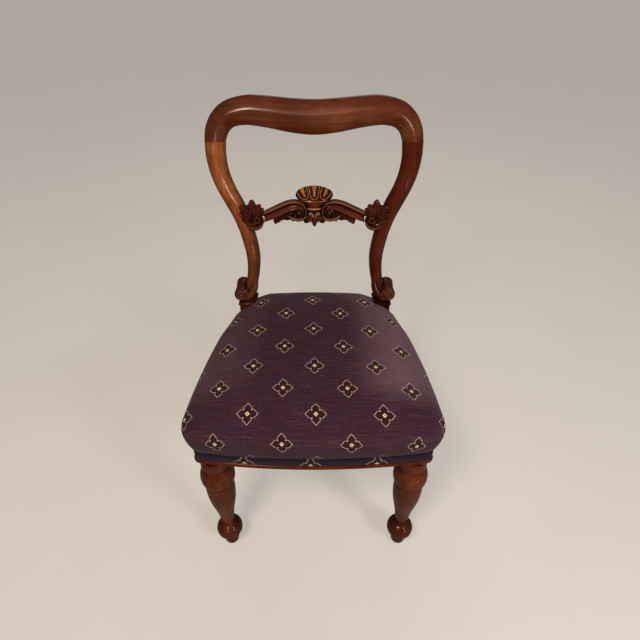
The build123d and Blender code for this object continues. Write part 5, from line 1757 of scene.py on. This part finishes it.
@dataclass
class Upholstery:
    """Cover, bands, wadding, stuffing and hessian of the overstuffed seat."""

    form: SeatForm = field(default_factory=SeatForm)
    post_x: float = 135.7
    post_y: float = 132.7
    ledge_x: float = 133.7
    ledge_y: float = 130.7
    # Share of the way from the crease to the middle, and wear of the cloth with painted light: painted shade below the
    # roll, rubbing and a painted sheen on the roll.
    wear_and_painted_light: tuple[tuple[float, float], ...] = (
        (0, -0.8), (0.05, -0.5), (0.12, -0.3), (0.22, -0.1), (0.31, 0.25), (0.4, 0.2), (0.55, 0.1), (0.8, 0), (1, 0)
    )
    # Place across the seat, and a painted sheen that pales its top there.
    painted_side_sheen: tuple[tuple[float, float], ...] = (
        (-200, 0.3), (-120, 0.2), (-50, 0), (20, 0), (80, 0.22), (130, 0.55), (170, 0.68), (230, 0.4)
    )
    band: tuple[float, float] = (344.3, 362.3)
    band_back: float = 2.5
    band_thickness: float = 1.6
    cover_thickness: float = 1.2
    cloth_slant: tuple[float, float] = (0.028, 0.014)  # how far the weave is pulled askew
    corner_ease: int = 5  # odd; more keeps the corners' spare cloth closer to the corners
    corner_pull: float = 0
    front_stretch: float = 0.035
    most_swell: float = 1.5
    cloth: DiaperCloth = field(default_factory=DiaperCloth)
    band_figure: tuple[float, float] = (-5.2, 346.5)  # half width and height of the middle of one figure

    def notch(self, carver: Carver, x: float, y: float, above: float = 0.0, below: float = 1e6) -> None:
        """Cuts both rear corners out of a sheet, round the posts.

        Args:
            carver: the mesh to cut.
            x: half width that the cut starts at.
            y: depth that the cut starts at.
            above: the cut leaves all that is lower than this.
            below: the cut leaves all that is higher than this.
        """
        bm = carver.bm
        for place, normal in (((x, 0, 0), (1, 0, 0)), ((-x, 0, 0), (-1, 0, 0)), ((0, y, 0), (0, 1, 0))):
            near = [face for face in bm.faces if face.calc_center_median().y > y - 40]
            geom = {*near, *(e for f in near for e in f.edges), *(v for f in near for v in f.verts)}
            bmesh.ops.bisect_plane(bm, geom=list(geom), dist=0.001, plane_co=place, plane_no=normal)
        gone = []
        for face in bm.faces:
            middle = face.calc_center_median()
            if abs(middle.x) > x and middle.y > y and above < middle.z < below:
                gone.append(face)
        bmesh.ops.delete(bm, geom=gone, context="FACES")

    def cloth_places(self, rings: Sequence[Sequence[Vector]]) -> list[list[tuple[float, float]]]:
        """Flat place on the cloth of every point of the rings, in millimetres.

        Args:
            rings: rings from the crease up to the middle.

        Returns:
            Width and length on the cloth for each point.
        """
        count = len(rings[0])
        places = [[(0.0, 0.0)] * count for _ in rings]
        widest = rings[len(self.form.sides)]
        half = max(point.x for point in widest), max(point.y for point in widest) - PLAN.middle_y
        for i in range(count):
            spare = 0.0
            for k in range(len(rings) - 1, -1, -1):
                point = rings[k][i]
                if k < len(rings) - 1:
                    step = point - rings[k + 1][i]
                    level = math.hypot(step.x, step.y)
                    spare += step.length + (-level if k >= len(self.form.sides) else level) if k < len(rings) - 8 else 0.0
                # The spare cloth runs off to the nearer side, shared smoothly round the corners.
                across, down = point.x / half[0], (point.y - PLAN.middle_y) / half[1]
                total = math.hypot(across**self.corner_ease, down**self.corner_ease)
                u = point.x + across**self.corner_ease / total * spare
                v = point.y + down**self.corner_ease / total * spare
                # The front is pulled down hardest at its corners.
                front = blend_value(((-205, 1), (-150, 0.2), (-110, 0)), point.y)
                u *= 1 - self.front_stretch * front
                v += self.corner_pull * front * min((point.x / 130) ** 2, 2)
                places[k][i] = (u + self.cloth_slant[0] * v, v + self.cloth_slant[1] * u)
        return places

    def cover(self, cloth: bpy.types.Material) -> bpy.types.Object:
        """The cover, pulled over the stuffing by simulation and cut round the posts."""
        stuffed = self.form.whole(0)
        rings = self.form.whole(0, less_dome=8.0)
        places = self.cloth_places(stuffed)
        carver = Carver()
        made = carver.swept(rings, capped=True)
        bm = carver.bm
        uv, wear_and_painted_light = carver.cloth_map, carver.wear_and_painted_light
        where = {}
        for ring, row in zip(made, places):
            for vert, place in zip(ring, row):
                where[vert] = place
        for k, ring in enumerate(made):
            share = k / (len(made) - 1)
            for vert in ring:
                # A painted sheen pales the sides of the top, more on the right.
                beside = blend_value(self.painted_side_sheen, vert.co.x) * min(1.0, share / 0.3)
                beside *= blend_value(((-195, 0), (-130, 1)), vert.co.y)
                vert[wear_and_painted_light] = min(1.0, blend_value(self.wear_and_painted_light, share) + beside)
        for face in bm.faces:
            for loop in face.loops:
                u, v = where[loop.vert]
                loop[uv].uv = (u * MM, v * MM)
        self.pull(carver, {vert: place for ring, row in zip(made, stuffed) for vert, place in zip(ring, row)})
        bottom = [f for f in bm.faces if len(f.verts) > 4 and f.calc_center_median().z < self.form.widest_z]
        bmesh.ops.delete(bm, geom=bottom, context="FACES_ONLY")
        self.notch(carver, self.ledge_x, self.ledge_y, above=432.5)
        self.notch(carver, self.post_x, self.post_y)
        piece = carver.finish("cover", cloth, "cover_fabric", crease=80)
        thick = piece.modifiers.new("thickness", "SOLIDIFY")
        thick.thickness = self.cover_thickness * MM
        thick.offset = -1
        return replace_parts(piece, "seat_cover")

    def pull(self, carver: Carver, stuffed: dict[bmesh.types.BMVert, Vector]) -> None:
        """Pulls the cover by a cloth simulation, from its slightly low start.

        Args:
            carver: the cover's closed mesh, whose corners are moved.
            stuffed: place of each corner on the stuffing, which the cloth can't sink into.
        """
        mesh = bpy.data.meshes.new("pull")
        copy = carver.bm.copy()
        bmesh.ops.recalc_face_normals(copy, faces=copy.faces)
        bmesh.ops.scale(copy, vec=(MM, MM, MM), verts=copy.verts)
        copy.to_mesh(mesh)
        copy.free()
        puller = bpy.data.objects.new("pull", mesh)
        scene = bpy.context.scene
        scene.collection.objects.link(puller)
        held = puller.vertex_groups.new(name="held")
        for vert in mesh.vertices:
            low = (vert.co.z / MM - self.form.crease_z) / 6
            post = max(abs(vert.co.x) / MM - self.post_x, 0) * max(vert.co.y / MM - self.post_y, 0)
            weight = 1.0 if post > 0 else max(0.0, min(1.0, 1 - low))
            if weight > 0:
                held.add([vert.index], weight, "REPLACE")
        cloth = puller.modifiers.new("cloth", "CLOTH")
        cloth.settings.quality = 6
        cloth.settings.mass = 0.3
        cloth.settings.tension_stiffness = 25
        cloth.settings.compression_stiffness = 25
        cloth.settings.shear_stiffness = 12
        cloth.settings.bending_stiffness = 0.8
        cloth.settings.use_pressure = True
        cloth.settings.uniform_pressure_force = 4
        cloth.settings.vertex_group_mass = "held"
        cloth.settings.effector_weights.gravity = 0
        cloth.collision_settings.use_collision = False
        for step in range(1, 21):
            scene.frame_set(step)
        evaluated = puller.evaluated_get(bpy.context.evaluated_depsgraph_get())
        moved = [vert.co / MM for vert in evaluated.data.vertices]
        carver.bm.verts.ensure_lookup_table()
        carver.bm.normal_update()
        outside = 1 if max(carver.bm.verts, key=lambda v: v.co.z).normal.z > 0 else -1
        for vert, place in zip(carver.bm.verts, moved):
            rest, normal = stuffed[vert], vert.normal * outside
            swell = (place - rest).dot(normal)
            kept = self.most_swell * math.tanh(max(swell, 0) / self.most_swell)
            vert.co = rest + normal * kept
        log.info("cover pulled, its top lies at %.1f mm", max(v.co.z for v in carver.bm.verts))
        bpy.data.objects.remove(puller)
        bpy.data.meshes.remove(mesh)
        scene.frame_set(1)

    def fabric_band(self, cloth: bpy.types.Material, rear: bool) -> bpy.types.Object:
        """Band of the cover's cloth along the bottom of the rails.

        Args:
            cloth: its finish.
            rear: whether it is the short one between the posts.

        Returns:
            The piece.
        """
        loop = PLAN.outline(0, (0, 0, 0, 0), PLAN.frame_radii)
        count = len(loop)
        if rear:
            path = [p for p in loop if p.y > 150 and abs(p.x) < self.post_x - 1]
            path = [Vector((self.post_x, PLAN.back_face(self.post_x), 0)), *path]
            path.append(Vector((-self.post_x, PLAN.back_face(self.post_x), 0)))
        else:
            half = [p for p in loop[: count // 2] if p.y < self.post_y - 3]
            half.append(Vector((PLAN.side_face(self.post_y), self.post_y, 0)))
            path = [Vector((-p.x, p.y, 0)) for p in reversed(half[1:])] + half
        low, high = self.band
        near, far = self.band_back + 0.4, self.band_back + self.band_thickness + 0.9
        face = [(far, low + rise) for rise in (0.8, 4, 6, 8, 10)]
        section = [(near, low), (far - 0.5, low), *face, (far, high - 1.2), (far - 0.5, high), (near, high)]
        lengths = [0.0]
        for a, b in zip(path, path[1:]):
            lengths.append(lengths[-1] + (b - a).length)
        middle = lengths[-1] / 2
        carver = Carver()
        outlines = []
        for i, place in enumerate(path):
            along = (path[min(i + 1, len(path) - 1)] - path[max(i - 1, 0)]).normalized()
            normal = Vector((along.y, -along.x, 0))
            outlines.append([place + normal * out + Vector((0, 0, z)) for out, z in section])
        made = carver.swept(outlines)
        uv, wear_and_painted_light = carver.cloth_map, carver.wear_and_painted_light
        where = {}
        for ring, run in zip(made, lengths):
            for vert, (out, z) in zip(ring, section):
                where[vert] = (
                    (run - middle - self.band_figure[0]) * (1 - self.front_stretch) + self.cloth.origin[0],
                    z - self.band_figure[1] + self.cloth.origin[1],
                )
                # The band gets navy painted shade under the roll, with cloth less faded there.
                vert[wear_and_painted_light] = blend_value(((low, -0.5), (low + 5, -0.7), (low + 9, -1.0)), z)
        for face in carver.bm.faces:
            for corner in face.loops:
                u, v = where[corner.vert]
                corner[uv].uv = (u * MM, v * MM)
        name, node = ("band_rear", "rear_cover_band") if rear else ("band_front", "cover_band")
        piece = carver.finish(name, cloth, "cover_fabric", crease=60)
        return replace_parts(piece, node)

    def wadding(self, finish: LooseFibre) -> bpy.types.Object:
        """Layer of cotton wadding between the cover and the stuffing."""
        form = self.form
        inner = form.crown(405.8, form.widest_z + form.roll - 10.2 - 405.8, 10.2, form.dome)
        rings = list(reversed(inner))
        rings += [PLAN.outline(z, (0.5,) * 4, (6.5, 1)) for z in (405.7, 400, 380, 368)]
        outer = form.whole(1.9)
        rings += outer[1:]
        carver = Carver()
        carver.swept(rings)
        self.notch_solid(carver)
        piece = carver.finish("wadding", finish.material(), "wadding", crease=70)
        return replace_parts(piece, "seat_wadding")

    def stuffing(self, finish: LooseFibre) -> bpy.types.Object:
        """Pad of curled hair on the hessian."""
        form = self.form
        rings = [PLAN.outline(405.6, [v - 10.8 for v in form.overhangs], [v - 10.8 for v in form.corner_radii], 0.05)]
        rings += form.crown(405.6, form.widest_z + form.roll - 10.8 - 405.6, 10.8, form.dome)
        carver = Carver()
        carver.swept(rings)
        self.notch_solid(carver)
        piece = carver.finish("stuffing", finish.material(), "stuffing", crease=70)
        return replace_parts(piece, "seat_stuffing")

    def notch_solid(self, carver: Carver) -> None:
        """Moves the rear corners of a solid layer clear of the posts and their ledges."""
        for vert in carver.bm.verts:
            over_x = abs(vert.co.x) - self.ledge_x + 0.5
            over_y = vert.co.y - self.ledge_y + 0.5
            if over_x > 0 and over_y > 0:
                if over_x < over_y:
                    vert.co.x = math.copysign(self.ledge_x - 0.5, vert.co.x)
                else:
                    vert.co.y = self.ledge_y - 0.5

    def hessian(self, finish: PlainWeave) -> bpy.types.Object:
        """Sheet of hessian tacked over the webbing."""
        z = 404.7
        shares = [1 - 0.05 * i for i in range(20)]
        carver = Carver()
        rings = [PLAN.outline(z, (-5,) * 4, (1, 1), share) for share in shares]
        carver.swept(rings, capped=True)
        flat = [f for f in carver.bm.faces if len(f.verts) > 4 and max(abs(v.co.x) for v in f.verts) > 100]
        bmesh.ops.delete(carver.bm, geom=flat, context="FACES_ONLY")
        self.notch(carver, self.post_x, self.post_y)
        area = sum(face.calc_area() for face in carver.bm.faces) * MM * MM
        piece = carver.finish("hessian", finish.material(), "hessian")
        thick = piece.modifiers.new("thickness", "SOLIDIFY")
        thick.thickness = 0.8 * MM
        thick.offset = 0
        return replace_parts(piece, "seat_hessian")

    def build(self) -> None:
        """All layers in place."""
        material = self.cloth.material()
        cover = self.cover(material)
        self.fabric_band(material, rear=False)
        self.fabric_band(material, rear=True)
        self.wadding(LooseFibre("cotton_wadding", "#b9b09f", "#e6dfd0", 4))
        self.stuffing(LooseFibre("curled_horsehair", "#15100d", "#4a3a2e", 2.5))
        self.hessian(PlainWeave("jute_hessian", "#6b5230", "#b6986a", 2.4))


@dataclass
class Webbing:
    """Interlaced jute bands tacked on top of the rails."""

    top: float = 400
    width: float = 50
    thickness: float = 1.6
    gap: float = 0.3
    edge: float = 7
    fold: float = 20
    settle: float = 2
    across: tuple[float, ...] = (-105, -35, 35, 105)
    along: tuple[float, ...] = (-115, -20, 75)

    def band(self, points: Sequence[tuple[float, float]], place: Callable[[float, float, float], Vector], name: str,
             material: bpy.types.Material) -> bpy.types.Object:
        """One band that follows the points, folded back at both ends.

        Args:
            points: distance along the band and height of its underside.
            place: turns distance along, distance across and height into a point.
            name: the CAD node that it stands for.
            material: its finish.

        Returns:
            The piece.
        """
        t, half = self.thickness, self.width / 2
        carver = Carver()
        fine = []
        for (a, low), (b, high) in zip(points, points[1:]):
            steps = max(2, round(abs(b - a) / 8))
            for i in range(steps):
                share = i / steps
                ease = share * share * (3 - 2 * share)
                fine.append((a + (b - a) * share, low + (high - low) * ease))
        fine.append(points[-1])
        outlines = []
        for run, level in fine:
            outlines.append([
                place(run, -half, level), place(run, half, level), place(run, half, level + t), place(run, -half, level + t)
            ])
        carver.swept(outlines)
        for end, inward in ((points[0][0], 1), (points[-1][0], -1)):
            outlines = []
            for i in range(4):
                run = end + inward * self.fold * i / 3
                low, high = self.top + t + 0.02, self.top + 2 * t
                outlines.append([
                    place(run, -half, low), place(run, half, low), place(run, half, high), place(run, -half, high)
                ])
            carver.swept(outlines)
        piece = carver.finish(name.replace("webbing", "web_band"), material, "webbing", crease=50)
        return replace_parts(piece, name)

    def build(self, finish: PlainWeave) -> None:
        """All seven bands in place."""
        material = finish.material()
        for number, x in enumerate(self.across, start=1):
            ends = PLAN.front_face(x) + self.edge, PLAN.back_face(x) - self.edge
            self.band(
                [(ends[0], self.top), (ends[1], self.top)],
                lambda run, side, z, x=x: Vector((x + side, run, z)),
                f"webbing_lengthwise_{number}",
                material,
            )
        over = self.top + self.thickness + self.gap
        under = self.top - self.thickness - self.gap
        reach = self.width / 2 + self.settle
        for row, y in enumerate(self.along):
            end = PLAN.side_face(y + self.width / 2) - self.edge
            points = [(-end, self.top), (self.across[0] - reach - 2 * self.settle, self.top)]
            for column, x in enumerate(self.across):
                level = over if (row + column) % 2 == 0 else under
                points += [(x - reach, level), (x + reach, level)]
            points += [(self.across[-1] + reach + 2 * self.settle, self.top), (end, self.top)]
            self.band(
                points,
                lambda run, side, z, y=y: Vector((run, y - side, z)),
                f"webbing_crosswise_{row + 1}",
                material,
            )


@dataclass
class FrameDressing:
    """Finishes for the CAD nodes that stay: rails, blocks, dowels, screws and tacks."""

    def dress(self) -> None:
        """Gives every CAD node that stays its material."""
        beech_across = SawnWood("sawn_beech_across", "#8a6238", "#b98d58").material()
        beech_deep = SawnWood("sawn_beech_along", "#8a6238", "#b98d58", Grain.DEEP).material()
        dowel = SawnWood("beech_dowel", "#a67a48", "#cda670", Grain.DEEP, 0.1).material()
        steel = PlainSteel().material()
        choice = {
            "front_rail": beech_across,
            "back_rail": beech_across,
            "right_side_rail": beech_deep,
            "left_side_rail": beech_deep,
            "front_right_corner_block": beech_across,
            "front_left_corner_block": beech_across,
            "rear_right_corner_block": beech_across,
            "rear_left_corner_block": beech_across,
            "rail_dowels": dowel,
            "crest_dowels": dowel,
            "mid_rail_dowels": dowel,
            "corner_block_screws": steel,
            "webbing_tacks": steel,
            "cover_tacks": steel,
        }
        for name, material in choice.items():
            node = frame["nodes"][name]
            node.data.materials.clear()
            node.data.materials.append(material)
        log.info("dressed %d CAD nodes", len(choice))


# ---------------------------------------------------------------- studio


@dataclass
class Studio:
    """Pale floor, soft lamps and the camera."""

    camera_at: tuple[float, float, float] = (0.012, -0.752, 1.11)
    pitch: float = 39.2
    lens: float = 27.06
    floor: str = "#bfb7ad"
    backdrop: str = "#d8d0c7"
    evenness: float = 0.5
    # Place, aim, size, power and colour of each lamp.
    lamps: tuple[tuple[tuple[float, float, float], tuple[float, float, float], float, float, str], ...] = (
        ((-0.55, -1.25, 2.2), (0, 0, 0.5), 0.45, 44.0, "#ffeedb"),
        ((1.3, -1.45, 1.5), (0, 0, 0.45), 0.5, 30.0, "#f8f4fa"),
        ((0.2, 1.6, 2.4), (0, 0.1, 0.6), 1.2, 14.0, "#fff3e6"),
        ((1.05, -1.2, 0.42), (0, -0.2, 0.3), 0.12, 3.5, "#fff6ea"),
    )

    def build(self) -> None:
        """Sets up the floor, the lamps, the world and the camera."""
        scene = bpy.context.scene
        bm = bmesh.new()
        bmesh.ops.create_grid(bm, x_segments=1, y_segments=1, size=20)
        mesh = bpy.data.meshes.new("floor")
        bm.to_mesh(mesh)
        bm.free()
        floor = bpy.data.objects.new("floor", mesh)
        floor.location.z = -0.0005
        scene.collection.objects.link(floor)
        mesh.materials.append(self.floor_material())
        floor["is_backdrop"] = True
        for number, (place, aim, size, power, colour) in enumerate(self.lamps):
            light = bpy.data.lights.new(f"lamp_{number}", "AREA")
            light.size = size
            light.energy = power
            light.color = linear(colour)[:3]
            lamp = bpy.data.objects.new(f"lamp_{number}", light)
            lamp.location = place
            lamp.rotation_euler = (Vector(aim) - Vector(place)).to_track_quat("-Z", "Y").to_euler()
            scene.collection.objects.link(lamp)
        camera = bpy.data.cameras.new("camera")
        camera.lens = self.lens
        camera.sensor_width = 36
        viewer = bpy.data.objects.new("camera", camera)
        viewer.location = self.camera_at
        viewer.rotation_euler = (math.radians(90 - self.pitch), 0, 0)
        scene.collection.objects.link(viewer)
        scene.camera = viewer
        scene.view_settings.view_transform = "Standard"
        self.sky(scene)

    def floor_material(self) -> bpy.types.Material:
        """Matt painted board: pale, with a faint mottle."""
        made = bpy.data.materials.new("matt_board")
        made.use_nodes = True
        tree = made.node_tree
        tree.nodes.clear()
        place = add_node(tree, "ShaderNodeTexCoord").outputs["Object"]
        mottle = add_node(tree, "ShaderNodeTexNoise", {"Vector": place, "Scale": 3.0, "Detail": 3.0}).outputs[0]
        colour = add_node(
            tree, "ShaderNodeValToRGB", {0: mottle}, stops=[(0.3, self.floor), (0.7, "#c6beb5")]
        ).outputs[0]
        shader = add_node(tree, "ShaderNodeBsdfPrincipled", {"Base Color": colour, "Roughness": 0.8}).outputs[0]
        # Seen directly, the board is paler and more even; the light that it throws back stays the same.
        pale = add_node(tree, "ShaderNodeEmission", {0: linear(self.backdrop), 1: 1.0}).outputs[0]
        seen = add_node(tree, "ShaderNodeLightPath").outputs["Is Camera Ray"]
        seen = add_node(tree, "ShaderNodeMath", {0: seen, 1: self.evenness}, operation="MULTIPLY").outputs[0]
        shader = add_node(tree, "ShaderNodeMixShader", {0: seen, 1: shader, 2: pale}).outputs[0]
        add_node(tree, "ShaderNodeOutputMaterial", {0: shader})
        return made

    def sky(self, scene: bpy.types.Scene) -> None:
        """Even soft light from all sides."""
        world = bpy.data.worlds.new("studio")
        scene.world = world
        world.use_nodes = True
        tree = world.node_tree
        tree.nodes.clear()
        shader = add_node(tree, "ShaderNodeBackground", {0: linear("#dcd8d2"), 1: 0.36}).outputs[0]
        wall = add_node(tree, "ShaderNodeBackground", {0: linear(self.backdrop), 1: 1.0}).outputs[0]
        seen = add_node(tree, "ShaderNodeLightPath").outputs["Is Camera Ray"]
        shader = add_node(tree, "ShaderNodeMixShader", {0: seen, 1: shader, 2: wall}).outputs[0]
        add_node(tree, "ShaderNodeOutputWorld", {0: shader})


# ---------------------------------------------------------------- the chair


def corners(low: Iterable[float], high: Iterable[float]) -> list[list[float]]:
    """Both corners of a box as plain lists."""
    return [list(low), list(high)]


def main() -> None:
    """Builds the chair's looks in order."""
    logging.basicConfig(level=logging.INFO, format="%(name)s: %(message)s")
    cad_box = corners(*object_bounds())
    crest = Mahogany(
        "french_polished_mahogany_crest", dark="#280c05", middle="#4d200c", light="#6b391b", coat=(0.48, 0.24),
    )
    # The left stile is painted lighter and the right one darker: lit and shaded copies of one mahogany.
    stile_right = Mahogany(
        "french_polished_mahogany_right",
        dark="#250a03", middle="#421708", light="#5c2913", grain=Grain.UPRIGHT, low=(0.43, 0.52), coat=(0.24, 0.13),
    )
    stile_left = Mahogany(
        "french_polished_mahogany_left",
        dark="#431b0a", middle="#7a411f", light="#a06a42", grain=Grain.UPRIGHT, low=(0.41, 0.68), coat=(0.2, 0.13),
    )
    carved = Mahogany("carved_mahogany", dark="#200b06", middle="#44190e", light="#603218", recess=0.9, reach=0.01, sides=0.3)
    shell = Mahogany("carved_mahogany_shell", dark="#36170c", middle="#723e1c", light="#a46a38", recess=0.8, reach=0.005, sides=0.1)
    leg = Mahogany(
        "french_polished_mahogany_leg",
        dark="#240b04", middle="#451b09", light="#633014", grain=Grain.UPRIGHT, low=(-0.03, 0.1), coat=(0.24, 0.1),
    )
    strip = Mahogany("french_polished_mahogany_strip", middle="#44190a", light="#5c2a11", sides=0.2)
    CrestRail().build(crest)
    Stile().build(stile_right, stile_left)
    FootScroll().build(carved)
    LeafEar().build(carved)
    MidRail().build(carved, shell)
    FrontLeg().build(leg)
    ShowWood().build(strip)
    Webbing().build(PlainWeave("jute_webbing", "#4a3a26", "#8d7650", 3.2))
    Upholstery().build()
    FrameDressing().dress()
    Studio().build()
    {"cad": cad_box, "visual": corners(*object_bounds())}


if __name__ == "__main__":
    main()
